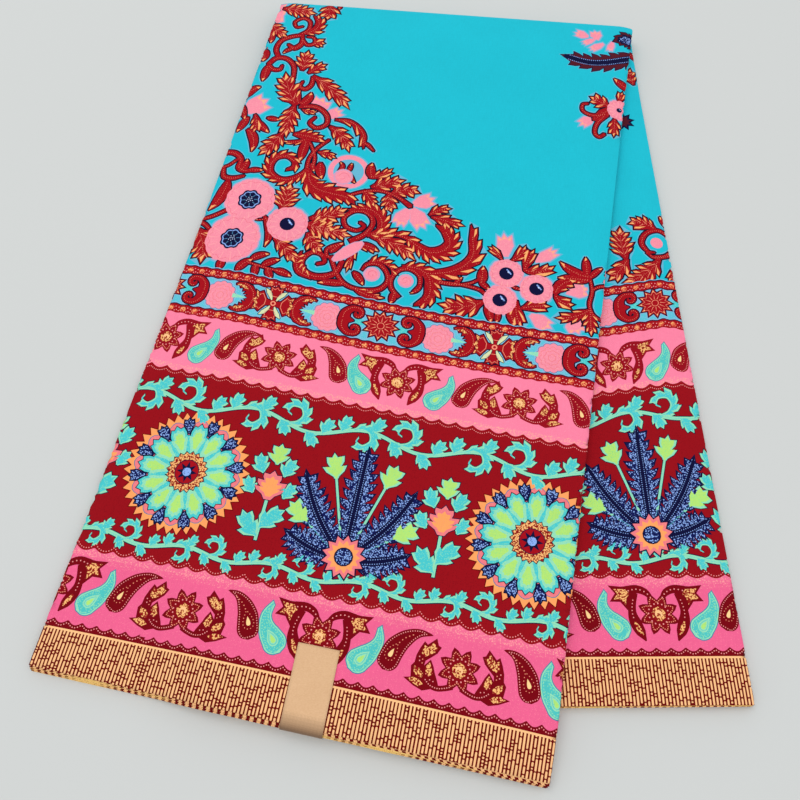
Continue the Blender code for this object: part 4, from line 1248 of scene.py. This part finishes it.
def cut_up(outlines, rim, grid):
    """Triangles that no line of the print crosses, inside the rim; all in millimetres."""
    points, edges = [], []
    for outline in [rim] + outlines:
        first = len(points)
        points.extend(outline)
        edges += [(first + k, first + (k + 1) % len(outline)) for k in range(len(outline))]
    points.extend(grid)
    found = delaunay_2d_cdt([Vector(p) for p in points], edges, [], 0, SNAP)
    flat = np.array([tuple(p) for p in found[0]])
    faces = np.array([f for f in found[2] if len(f) == 3])
    faces = faces[inside(np.asarray(rim), flat[faces].mean(1))]
    used = np.unique(faces)
    renumber = np.full(len(flat), -1)
    renumber[used] = np.arange(len(used))
    return flat[used], renumber[faces]


def boundary_loop(faces):
    """Corner numbers round the open edge of a disc of triangles, in the order of its faces."""
    edges = np.concatenate([faces[:, [0, 1]], faces[:, [1, 2]], faces[:, [2, 0]]])
    known = {tuple(e) for e in edges.tolist()}
    after = {a: b for a, b in edges.tolist() if (b, a) not in known}
    start = next(iter(after))
    loop = [start]
    while after[loop[-1]] != start:
        loop.append(after[loop[-1]])
    return loop


def ink_colours(inks, shown):
    """The two colour attributes of the faces, from the number of each one's ink in a list of names."""
    rows = [INKS[ink] for ink in inks]
    base = np.array([(*linear(*row[:3]), 1.0) for row in rows])
    specks = np.array([(*linear(*(row[3:6] or row[:3])), *(row[6:] or (0.0,))) for row in rows])
    return {"ink": base[shown], "specks": specks[shown]}


def in_scene(name, data):
    made = bpy.data.objects.new(name, data)
    bpy.context.scene.collection.objects.link(made)
    return made


def new_piece(name, points, faces, flat, colours, material):
    """A piece from its corners, triangles, flat places in millimetres and one colour for each face."""
    mesh = bpy.data.meshes.new(name)
    mesh.vertices.add(len(points))
    mesh.vertices.foreach_set("co", np.asarray(points - SHIFT, np.float32).ravel())
    faces = np.asarray(faces)
    mesh.loops.add(faces.size)
    mesh.loops.foreach_set("vertex_index", faces.ravel())
    mesh.polygons.add(len(faces))
    mesh.polygons.foreach_set("loop_start", np.arange(len(faces)) * 3)
    mesh.polygons.foreach_set("loop_total", np.full(len(faces), 3))
    mesh.update(calc_edges=True)
    mesh.shade_smooth()
    for label, values in colours.items():
        layer = mesh.color_attributes.new(label, "FLOAT_COLOR", "CORNER")
        layer.data.foreach_set("color", np.repeat(values, 3, axis=0).astype(np.float32).ravel())
    cloth = mesh.uv_layers.new(name="cloth")
    cloth.data.foreach_set("uv", (flat[faces.ravel()] * 0.001).astype(np.float32).ravel())
    mesh.materials.append(material)
    return in_scene(name, mesh)


def frame_shift():
    """From the corner of the fold to the frame's origin, read off the front panel's own box."""
    wall_setback = 0.0001 / STRIP_WIDTH
    row = 1.0 - FRONT_PANEL_SETBACK / FRONT_EDGE
    left, right = plan("front", wall_setback, row), plan("front", 1.0 - wall_setback, row)
    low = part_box("front_panel")[0]
    return np.array([left[0] - low[0], right[1] - low[1], 0.0])


SHIFT = frame_shift()


def printed_lap(name, shapes, rim, grid, coarse_grid, surface, material):
    """One lap of printed cloth as a thin closed shell on its form."""
    def laid(flat, lift):
        return surface(flat[:, 0] * 0.001, flat[:, 1] * 0.001, lift)

    shapes = on_cloth(shapes)
    flat, faces = cut_up([outline for ink, outline, layer in shapes if layer > GROUND], rim, grid)
    loop = boundary_loop(faces)
    inner_flat, inner_faces = cut_up([], flat[loop], coarse_grid)
    inner_loop = nearest(inner_flat, flat[loop])
    points = np.concatenate([laid(flat, TOP), laid(flat[loop], TOP - THIN / 2), laid(inner_flat, TOP - THIN)])
    all_flat = np.concatenate([flat, flat[loop], inner_flat])
    middle, last = len(flat), len(flat) + len(loop)
    rim_faces = []
    for k in range(len(loop)):
        n = (k + 1) % len(loop)
        a, b, c, d = loop[k], loop[n], middle + k, middle + n
        e, f = last + inner_loop[k], last + inner_loop[n]
        rim_faces += [(b, a, c), (b, c, d), (d, c, e), (d, e, f)]
    every = np.concatenate([faces, np.array(rim_faces), inner_faces[:, ::-1] + last])
    colours = ink_colours([row[0] for row in shapes], shown_on(shapes, all_flat[every]))
    return new_piece(name, points, every, all_flat, colours, material)


def fold_columns():
    """Places across the cloth: close together round the side folds."""
    turn = SIDE_FOLD * 1000
    left = [-SIDE_TUCK * 1000] + [turn - turn * math.pi * k / 4 for k in (4, 3, 2, 1)]
    left += [turn, 2.0, 4.5, 8.0, 12.0]
    return left, [WIDTH - u for u in reversed(left)]


def panel_grid(rows, step):
    left, right = fold_columns()
    inner = list(np.arange(left[-1] + step, right[0] - step / 2, step))
    return [(u, v) for v in rows[1:-1] for u in left[1:] + inner + right[:-1]]


def slanted_lap(name, shapes, lengths, top, rows, coarse, step, surface, material):
    """A lap from its rows, level at the selvage and slanting at the fold. lengths are those of its sides."""
    def slanted(points):
        points = np.asarray(points, float)
        share = np.clip((points[:, 1] - SLANT_START) / (top - SLANT_START), 0.0, 1.0)
        points[:, 1] += share * (lengths[1] - lengths[0]) * points[:, 0] / WIDTH
        return points

    left, right = fold_columns()
    end = left + list(np.linspace(left[-1], right[0], 40))[1:-1] + right
    rim = [(u, rows[0]) for u in end] + [(end[-1], v) for v in rows[1:-1]]
    rim += [(u, rows[-1]) for u in reversed(end)] + [(end[0], v) for v in reversed(rows[1:-1])]
    fine, coarse = slanted(panel_grid(rows, step)), slanted(panel_grid(coarse, 20.0))
    return printed_lap(name, shapes, slanted(rim), fine, coarse, surface, material)


def leg_rows(low, bend, high, step):
    """Rows up a leg, then closer ones round its end."""
    rows = list(np.linspace(low, bend, max(2, round((bend - low) / step))))
    return rows + list(np.linspace(bend, high, max(2, round((high - bend) / 2.2))))[1:]


def front_lap(shapes, material):
    lengths = 1000 * leg_length("front", np.array([0.0, 1.0]))
    ends = FRONT_PANEL_SETBACK * 1000, lengths[0] - 2.0, lengths[0] + 1000 * (FOLD_ARC + TUCK_END)
    rows, coarse = leg_rows(*ends, 7.5), leg_rows(*ends, 14.0)
    return slanted_lap("front_lap", shapes, lengths, lengths[0], rows, coarse, 7.5, front_surface, material)


def back_lap(shapes, material):
    lengths = 1000 * leg_length("back", np.array([0.0, 1.0]))
    top = lengths[0] - BACK_PANEL_START * 1000
    rows = list(np.linspace(BACK_PANEL_SETBACK * 1000, top, 140))
    coarse = rows[::4] + [rows[-1]]
    return slanted_lap("back_lap", shapes, lengths, top, rows, coarse, 4.0, back_surface, material)


# Form: the hidden laps, with every side fold and cut edge drawn out
LAPS = 10
LAP_LEVELS = (0.0, 0.14, 0.5, 0.86)  # where the rings of points run on the edge of one lap
MEET = 0.00045  # the pile rises this much to meet the turned-under sides of the lap over it
MEET_FADE = 0.020
FACE_SETBACK = 0.0012
SIDE_GROOVE, END_GROOVE = 0.0009, 0.0007
SIDE_STEP, FRONT_STEP, BACK_STEP = 0.0005, 0.00065, 0.0003
SIDE_WAVE = 0.0004
FRONT_NARROWING = 0.55
RIGHT_SIDE_RUN = 0.23
SIDE_PITCH, END_PITCH = 0.0032, 0.0011  # between two points along a side, and along a selvage
PILE_SHEAR = 13.0  # moves the rings of the pile apart on the flat cloth
PILE_STEP = 14.0  # between the rows of points of its top and its underside
PILE_COLUMNS = (4, 11, *range(26, 300, 22), 304, 311)
FIRST_COLUMN, LAST_COLUMN = 20.0, 290.0  # each side fold takes its colours from a column between these
NEXT_FOLD, OTHER_SIDE, ROUND_FOLD = 53.0, 90.0, 3.0  # how far a fold's column lies from another's
BEYOND = 900.0  # past the last band
BAND_INKS = (  # upper edge of each band of the print, from the selvage, and its ground
    (27.5, "gold"), (76.0, "pink"), (207.0, "maroon"), (253.0, "light pink"), (259.0, "maroon"),
    (286.0, "turquoise"), (293.0, "maroon"), (BEYOND, "turquoise"),
)
FRONT_RUN, BACK_RUN = (float(leg_length(leg, np.array(0.5))) for leg in ("front", "back"))
WHOLE_RUN = FRONT_RUN + FOLD_ARC + BACK_RUN


def groove(share, depth):
    """Setback across one rounded edge, none at its middle."""
    return depth * (1.0 - np.sqrt(np.clip(1.0 - (2.0 * share - 1.0) ** 2, 0.0, 1.0)))


def wander(run, number):
    """An edge's slow wander and its fine unevenness, from -1 to 1 and a little more."""
    slow = np.sin(run / 0.037 + 2.0 * number) * np.sin(run / 0.11 + number)
    return slow + 0.3 * np.sin(run / 0.0073 + 3.1 * number)


def side_fold_at(level, left):
    """Number of the fold at a side and the share of it; laps join two by two, one later at the left."""
    place = (level * LAPS + left) / 2
    return np.floor(place), place - np.floor(place)


def side_setback(level, run, left):
    if level in (0.0, 1.0):
        return FACE_SETBACK + 0.0 * run
    number, share = side_fold_at(level, left)
    crest = SIDE_STEP * (1.0 + np.sin(2.4 * number + 1.0)) + SIDE_WAVE * wander(run, number)
    return np.maximum(crest, 0.0) + groove(share, SIDE_GROOVE)


def end_setback(leg, level, s):
    lap = min(math.floor(level * LAPS), LAPS - 1)
    step = BACK_STEP * (1.0 + math.sin(2.4 * lap + 1.0))
    if leg == "front":
        step = FRONT_STEP * (lap // 2) * (1.0 - FRONT_NARROWING * s)
    if level in (0.0, 1.0):
        return FACE_SETBACK + step + 0.0 * s
    crest = np.maximum(step + SIDE_WAVE * wander(s * STRIP_WIDTH, lap + 4.0), 0.0)
    return crest + groove(level * LAPS - lap, END_GROOVE)


def pile_point(s, run, level):
    """A point of the pile: run metres from the front selvage, over the top fold and on to the back one."""
    past = run - FRONT_RUN
    down = np.clip((past - FOLD_ARC) / BACK_RUN, 0.0, 1.0)
    on_front = leg_point("front", s, np.clip(1.0 - run / FRONT_RUN, 0.0, 1.0), level, MEET * level)
    on_fold = fold_point(s, np.clip(past / OUTER_RADIUS, 0.0, math.pi), level, MEET * level)
    on_back = leg_point("back", s, down, level, MEET * (level - smooth(down * BACK_EDGE / MEET_FADE)))
    return by_run(past, on_front, on_fold, on_back)


END_COUNT, SIDE_COUNT = round(STRIP_WIDTH / END_PITCH), round(WHOLE_RUN / SIDE_PITCH)


def pile_border(level):
    """s and run of the points round the pile at one level, from the front selvage's left end."""
    across_it = np.linspace(0.0, 1.0, END_COUNT + 1)
    up = np.linspace(0.0, 1.0, SIDE_COUNT + 1)
    low = end_setback("front", level, across_it)
    high = WHOLE_RUN - end_setback("back", level, across_it)
    right_run, left_run = (low[k] + (high[k] - low[k]) * up for k in (-1, 0))
    right = 1.0 - side_setback(level, right_run + RIGHT_SIDE_RUN, 0) / STRIP_WIDTH
    left = side_setback(level, left_run, 1) / STRIP_WIDTH
    s = np.concatenate([left[0] + (right[0] - left[0]) * across_it[:-1], right[:-1],
                        (left[-1] + (right[-1] - left[-1]) * across_it)[:0:-1], left[:0:-1]])
    return s, np.concatenate([low[:-1], right_run[:-1], high[:0:-1], left_run[:0:-1]])


def rise(run):
    """Millimetres from the selvage of its leg, for each run in millimetres."""
    return np.minimum(run, np.where(run < (FRONT_RUN + FOLD_ARC) * 1000, BEYOND, WHOLE_RUN * 1000 - run))


def pile_face(level):
    """Flat points, triangles and the points' order round the border, for the pile's top or underside."""
    s, run = pile_border(level)
    rim = np.stack([s * WIDTH, run * 1000], 1)
    rows = list(np.arange(9.0, WHOLE_RUN * 1000 - 5.0, PILE_STEP))
    rows += [(FRONT_RUN + FOLD_ARC * k / 8) * 1000 for k in range(9)]
    flat, faces = cut_up([], rim, [(u, v) for v in rows for u in PILE_COLUMNS])
    return flat, faces, nearest(flat, rim)


def folded_edges(prints, material):
    """The pile of hidden laps of both legs. prints has the shapes on each leg."""
    levels = [(k + f) / LAPS for k in range(LAPS) for f in LAP_LEVELS] + [1.0]
    under_flat, under_faces, under_order = pile_face(0.0)
    over_flat, over_faces, over_order = pile_face(1.0)
    flat, rings = [under_flat, over_flat], [under_order]
    points = [pile_point(row[:, 0] / WIDTH, row[:, 1] / 1000, level) for row, level in zip(flat, (0.0, 1.0))]
    count = len(under_flat) + len(over_flat)
    for level in levels[1:-1]:
        s, run = pile_border(level)
        points.append(pile_point(s, run, level))
        flat.append(np.stack([s * WIDTH + PILE_SHEAR * level, run * 1000 + PILE_SHEAR * level], 1))
        rings.append(count + np.arange(len(s)))
        count += len(s)
    rings.append(over_order + len(under_flat))

    s, run = pile_border(0.5)
    number = np.arange(len(s))
    after = np.roll(number, -1)
    half_round = END_COUNT + SIDE_COUNT
    at_end = number % half_round < END_COUNT
    left = (number >= half_round + END_COUNT).astype(float)
    names = list(INKS)
    faces, places, bare = [under_faces[:, ::-1], over_faces + len(under_flat)], [], []
    for low, high, level, above in zip(rings, rings[1:], levels, levels[1:]):
        faces += [np.stack([low, low[after], high[after]], 1), np.stack([low, high[after], high], 1)]
        middle = 0.5 * (level + above)
        fold, share = side_fold_at(middle, left)
        lap = math.floor(middle * LAPS)
        column = (NEXT_FOLD * fold + OTHER_SIDE * left) % (LAST_COLUMN - FIRST_COLUMN)
        column = FIRST_COLUMN + column + ROUND_FOLD * share
        places.append(np.stack([column, rise(run * 1000) + 1.0], 1))
        crumb = (number // 2 + lap) % 2 if lap % 2 else 0 * number
        end_ink = names.index(("selvage", "crumbs")[lap % 2])
        bare.append(np.where(at_end, np.where(crumb == 1, names.index("ground maroon"), end_ink), -1))
    places, bare = np.concatenate(places), np.concatenate(bare)
    inks = np.zeros(len(places), int)
    on_back = np.tile(run > FRONT_RUN + FOLD_ARC, len(levels) - 1)
    for leg, chosen in (("front", ~on_back), ("back", on_back)):
        found = topmost(prints[leg], places[chosen])
        inks[chosen] = [names.index(prints[leg][k][0]) for k in found]
    inks = np.where(bare >= 0, bare, inks)
    faces_at = rise(np.concatenate([under_flat[under_faces], over_flat[over_faces]]).mean(1)[:, 1])
    shown = [names.index(next(ink for upper, ink in BAND_INKS if v < upper)) for v in faces_at]
    shown = np.concatenate([shown] + [np.tile(row, 2) for row in inks.reshape(-1, len(s))])
    return new_piece(
        "folded_edges", np.concatenate(points), np.concatenate(faces), np.concatenate(flat),
        ink_colours(names, shown), material,
    )


# Form: the paper label, laid on the front lap and folded down over the selvage
LABEL_AT = 0.539  # share of the strip's width
LABEL_WIDTH, LABEL_LENGTH = 0.0255, 0.0440
LABEL_LEAN = math.radians(1.2)
LABEL_THICKNESS = 0.0004
LABEL_OVERHANG = 0.0003
LABEL_REACH = 0.12  # how low its free end comes, as a share of the stack
LABEL_BEND = 0.0048  # inner radius of its fold
LABEL_CURL = 0.0004  # its middle lifts this much near its upper end
LABEL_CURL_START, LABEL_CURL_FADE = 0.038, 0.014
LABEL_ROWS = [("top", 1.0 - k / 24) for k in range(24)] + [("fold", k / 7) for k in range(8)]
LABEL_ROWS += [("down", k / 3) for k in range(1, 4)]
LABEL_SIDES = np.linspace(-0.5, 0.5, 13) * LABEL_WIDTH


def label_point(side, face, kind, share):
    """One point of the label. The rows run down its top, round the fold and down the selvage."""
    outward = LABEL_THICKNESS * face
    run = LABEL_BEND - LABEL_OVERHANG
    if kind == "top":
        run += (LABEL_LENGTH + FRONT_PANEL_SETBACK - run) * share
    s = LABEL_AT + (side - math.tan(LABEL_LEAN) * run) / STRIP_WIDTH
    curl = LABEL_CURL * smooth((run - LABEL_CURL_START) / LABEL_CURL_FADE)
    curl *= math.cos(math.pi * side / LABEL_WIDTH)
    point = leg_point("front", np.array(s), np.array(1.0 - run / FRONT_EDGE), 1.0, TOP + GAP + outward + curl)
    if kind == "top":
        return point
    angle = share * math.pi / 2 if kind == "fold" else math.pi / 2
    reach = LABEL_BEND + outward
    point[2] += reach * (math.cos(angle) - 1.0)
    if kind == "down":
        foot = leg_point("front", np.array(s), np.array(1.0), LABEL_REACH, 0.0)
        point[2] += (foot[2] - point[2]) * share
    point[:2] -= along(FRONT_TURN) * (reach * math.sin(angle))
    return point


def paper_label(material):
    high, wide = len(LABEL_ROWS), len(LABEL_SIDES)
    every = [(face, i, side) for face in (0, 1) for i in range(high) for side in LABEL_SIDES]
    points = np.array([label_point(side, face, *LABEL_ROWS[i]) for face, i, side in every])
    flat = np.array([(1000 * side, 2 * i) for face, i, side in every])
    # Painted shade: the share of dark brown on each face, rising from the start of the fold to the label's
    # free end.
    painted_shade_share = np.array([min(1.0, max(0, i - 21) / 7) ** 0.8 for face, i, side in every])
    count = high * wide
    faces = []
    for i in range(high - 1):
        for a in range(i * wide, i * wide + wide - 1):
            faces += [(a, a + wide + 1, a + wide), (a, a + 1, a + wide + 1)]
    faces += [(a + count, c + count, b + count) for a, b, c in faces]
    loop = list(range(wide)) + [i * wide + wide - 1 for i in range(1, high)]
    loop += list(range(count - 2, count - wide - 1, -1)) + [i * wide for i in range(high - 2, 0, -1)]
    for a, b in zip(loop, loop[1:] + loop[:1]):
        faces += [(a, b, b + count), (a, b + count, a + count)]
    painted_fold_shade = np.repeat(painted_shade_share[np.array(faces)].mean(1)[:, None], 4, axis=1)
    return new_piece("paper_label", points, faces, flat, {"painted_fold_shade": painted_fold_shade}, material)


# Materials
def plug(tree, socket, value):
    """Sets a socket, or links it where the value is another node's output."""
    if isinstance(value, bpy.types.NodeSocket):
        tree.links.new(value, socket)
    else:
        socket.default_value = value


def node(tree, kind, inputs, **settings):
    made = tree.nodes.new("ShaderNode" + kind)
    for name, value in settings.items():
        setattr(made, name, value)
    for name, value in inputs.items():
        plug(tree, made.inputs[name], value)
    return made


def maths(tree, operation, *values, clamp=False):
    return node(tree, "Math", dict(enumerate(values)), operation=operation, use_clamp=clamp).outputs[0]


def mixed(tree, share, a, b, blend="MIX"):
    return node(tree, "Mix", {0: share, 6: a, 7: b}, data_type="RGBA", blend_type=blend).outputs[2]


def stretched(tree, source, scale):
    """Texture coordinates scaled along the cloth's own directions."""
    return node(tree, "VectorMath", {0: source, 1: scale}, operation="MULTIPLY").outputs[0]


def noise(tree, source, scale, detail=2.0):
    place = stretched(tree, source, scale)
    return node(tree, "TexNoise", {"Scale": 1.0, "Detail": detail, "Vector": place}).outputs["Fac"]


def bumped(tree, height, strength, distance):
    return node(tree, "Bump", {"Strength": strength, "Distance": distance, "Height": height}).outputs[0]


def new_material(name):
    material = bpy.data.materials.new(name)
    material.use_nodes = True
    return material, material.node_tree, material.node_tree.nodes["Principled BSDF"]


def cotton():
    """Printed plain weave: inks and specks from the mesh, grain and slubs along the cloth's own threads."""
    material, tree, shader = new_material("printed_cotton")
    place = node(tree, "UVMap", {}, uv_map="cloth").outputs[0]
    ink = node(tree, "Attribute", {}, attribute_name="ink").outputs["Color"]
    specks = node(tree, "Attribute", {}, attribute_name="specks").outputs
    cells = node(tree, "TexVoronoi", {"Scale": 1.0, "Vector": stretched(tree, place, (1000.0, 1000.0, 1.0))})
    reach = maths(tree, "SQRT", maths(tree, "MULTIPLY", specks["Alpha"], 0.36))
    near = maths(tree, "SUBTRACT", reach, cells.outputs["Distance"])
    spot = maths(tree, "MULTIPLY_ADD", near, 7.0, 0.5, clamp=True)
    there = maths(tree, "GREATER_THAN", specks["Alpha"], 0.01)
    colour = mixed(tree, maths(tree, "MULTIPLY", spot, there), ink, specks["Color"])
    slub = maths(tree, "MULTIPLY_ADD", noise(tree, place, (1300.0, 130.0, 1.0), 3.0), 0.16, 0.84)
    weft = maths(tree, "MULTIPLY_ADD", noise(tree, place, (150.0, 1200.0, 1.0), 3.0), 0.12, -0.06)
    cloud = maths(tree, "MULTIPLY_ADD", noise(tree, place, (22.0, 22.0, 1.0)), 0.10, 0.03)
    tone = maths(tree, "ADD", maths(tree, "ADD", slub, weft), cloud)
    tint = node(tree, "CombineColor", {0: tone, 1: tone, 2: tone}).outputs[0]
    threads = [noise(tree, place, scale) for scale in ((2300.0, 420.0, 1.0), (420.0, 2300.0, 1.0))]
    plug(tree, shader.inputs["Base Color"], mixed(tree, 1.0, colour, tint, "MULTIPLY"))
    plug(tree, shader.inputs["Normal"], bumped(tree, maths(tree, "ADD", *threads), 0.35, 0.00012))
    shader.inputs["Roughness"].default_value = 0.72
    shader.inputs["Specular IOR Level"].default_value = 0.05
    shader.inputs["Sheen Weight"].default_value = 0.01
    shader.inputs["Sheen Roughness"].default_value = 0.5
    return material


def kraft():
    """Brown paper with short fibres, and painted shade that darkens it round its fold."""
    material, tree, shader = new_material("kraft_paper")
    place = node(tree, "TexCoord", {}).outputs["Object"]
    fibre = noise(tree, place, (900.0, 1400.0, 900.0), 4.0)
    cloud = noise(tree, place, (60.0, 60.0, 60.0))
    share = maths(tree, "ADD", maths(tree, "MULTIPLY", fibre, 0.7), maths(tree, "MULTIPLY", cloud, 0.3))
    # This attribute holds the painted shade round the fold, from 0 to 1.
    painted_fold_shade = node(tree, "Attribute", {}, attribute_name="painted_fold_shade").outputs["Fac"]
    shade, pale, dark = ((*linear(*row), 1.0) for row in ((204, 158, 112), (236, 194, 150), (112, 80, 52)))
    # dark is the brown of the painted shade; the paper is mixed towards it round its fold.
    colour = mixed(tree, maths(tree, "MULTIPLY", painted_fold_shade, 0.95), mixed(tree, share, shade, pale), dark)
    plug(tree, shader.inputs["Base Color"], colour)
    plug(tree, shader.inputs["Normal"], bumped(tree, fibre, 0.3, 0.00005))
    shader.inputs["Roughness"].default_value = 0.5
    return material


# Camera, light and floor
CAMERA_PLACE = (0.1341, -0.5803, 0.4624)  # from the left end of the top fold
CAMERA_PITCH = math.radians(23.44)  # from straight down, tilted towards +Y
CAMERA_YAW = math.radians(0.97)
CAMERA_ROLL = math.radians(2.75)
CAMERA_LENS = 31.9  # millimetres on a 36 mm sensor
FLOOR_REACH = 6.0
FLOOR_COLOUR = (209, 212, 211)
SKY_STRENGTH = 0.84


def camera():
    sine, cosine = math.sin(CAMERA_PITCH), math.cos(CAMERA_PITCH)
    right = Vector((math.cos(CAMERA_YAW), math.sin(CAMERA_YAW), 0.0))
    forward = Vector((-math.sin(CAMERA_YAW) * sine, math.cos(CAMERA_YAW) * sine, -cosine))
    up = Vector((-math.sin(CAMERA_YAW) * cosine, math.cos(CAMERA_YAW) * cosine, sine))
    x = math.cos(CAMERA_ROLL) * right + math.sin(CAMERA_ROLL) * up
    y = math.cos(CAMERA_ROLL) * up - math.sin(CAMERA_ROLL) * right
    data = bpy.data.cameras.new("camera")
    data.lens = CAMERA_LENS
    data.sensor_width = 36.0
    data.clip_start = 0.01
    made = in_scene("camera", data)
    turn = Matrix((x, y, -forward)).transposed().to_4x4()
    made.matrix_world = Matrix.Translation(Vector(CAMERA_PLACE) - Vector(SHIFT)) @ turn
    bpy.context.scene.camera = made


def area_light(name, place, size, power):
    """A round soft light that aims at the object."""
    data = bpy.data.lights.new(name, "AREA")
    data.shape = "DISK"
    data.size = size
    data.energy = power
    made = in_scene(name, data)
    made.location = place
    made.rotation_euler = (-Vector(place)).to_track_quat("-Z", "Y").to_euler()


def studio():
    world = bpy.data.worlds.new("studio")
    world.use_nodes = True
    world.node_tree.nodes["Background"].inputs["Color"].default_value = (1.0, 1.0, 1.0, 1.0)
    world.node_tree.nodes["Background"].inputs["Strength"].default_value = SKY_STRENGTH
    bpy.context.scene.world = world
    area_light("key", (-1.0, 1.0, 2.4), 1.6, 14.0)
    area_light("fill", (1.2, -1.2, 2.2), 1.8, 6.0)
    bpy.context.scene.view_settings.view_transform = "Standard"
    mesh = bpy.data.meshes.new("floor")
    corners = [(x * FLOOR_REACH, y * FLOOR_REACH, 0) for x, y in ((-1, -1), (1, -1), (1, 1), (-1, 1))]
    mesh.from_pydata(corners, [], [(0, 1, 2, 3)])
    material, _, shader = new_material("floor")
    shader.inputs["Base Color"].default_value = (*linear(*FLOOR_COLOUR), 1.0)
    shader.inputs["Roughness"].default_value = 0.9
    shader.inputs["Specular IOR Level"].default_value = 0.0
    mesh.materials.append(material)
    in_scene("floor", mesh)


# Assembly
camera()
studio()
COTTON = cotton()
FRONT_BORDER = border(phase=82.0, upper_phase=93.0, upper_middle=233.8, strip_phase=82.0, seed=5)
BACK_BORDER = border(phase=179.0, upper_phase=174.7, upper_middle=229.6, strip_phase=220.5, seed=11)
PRINTS = {
    "front": whole_print(FRONT_BORDER, sag, front_field()),
    "back": whole_print(BACK_BORDER, tilt, back_field()),
}
front = front_lap(PRINTS["front"], COTTON)
back = back_lap(PRINTS["back"], COTTON)
edges = folded_edges(PRINTS, COTTON)
paper = paper_label(kraft())
for piece, node_name, slot in (
    (front, "front_panel", "printed_cotton"),
    (back, "back_panel", "printed_cotton"),
    (edges, "folded_layers", "lapped_edges"),
    (paper, "label", "plain_label"),
):
    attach(piece, "root")
    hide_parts(node_name)
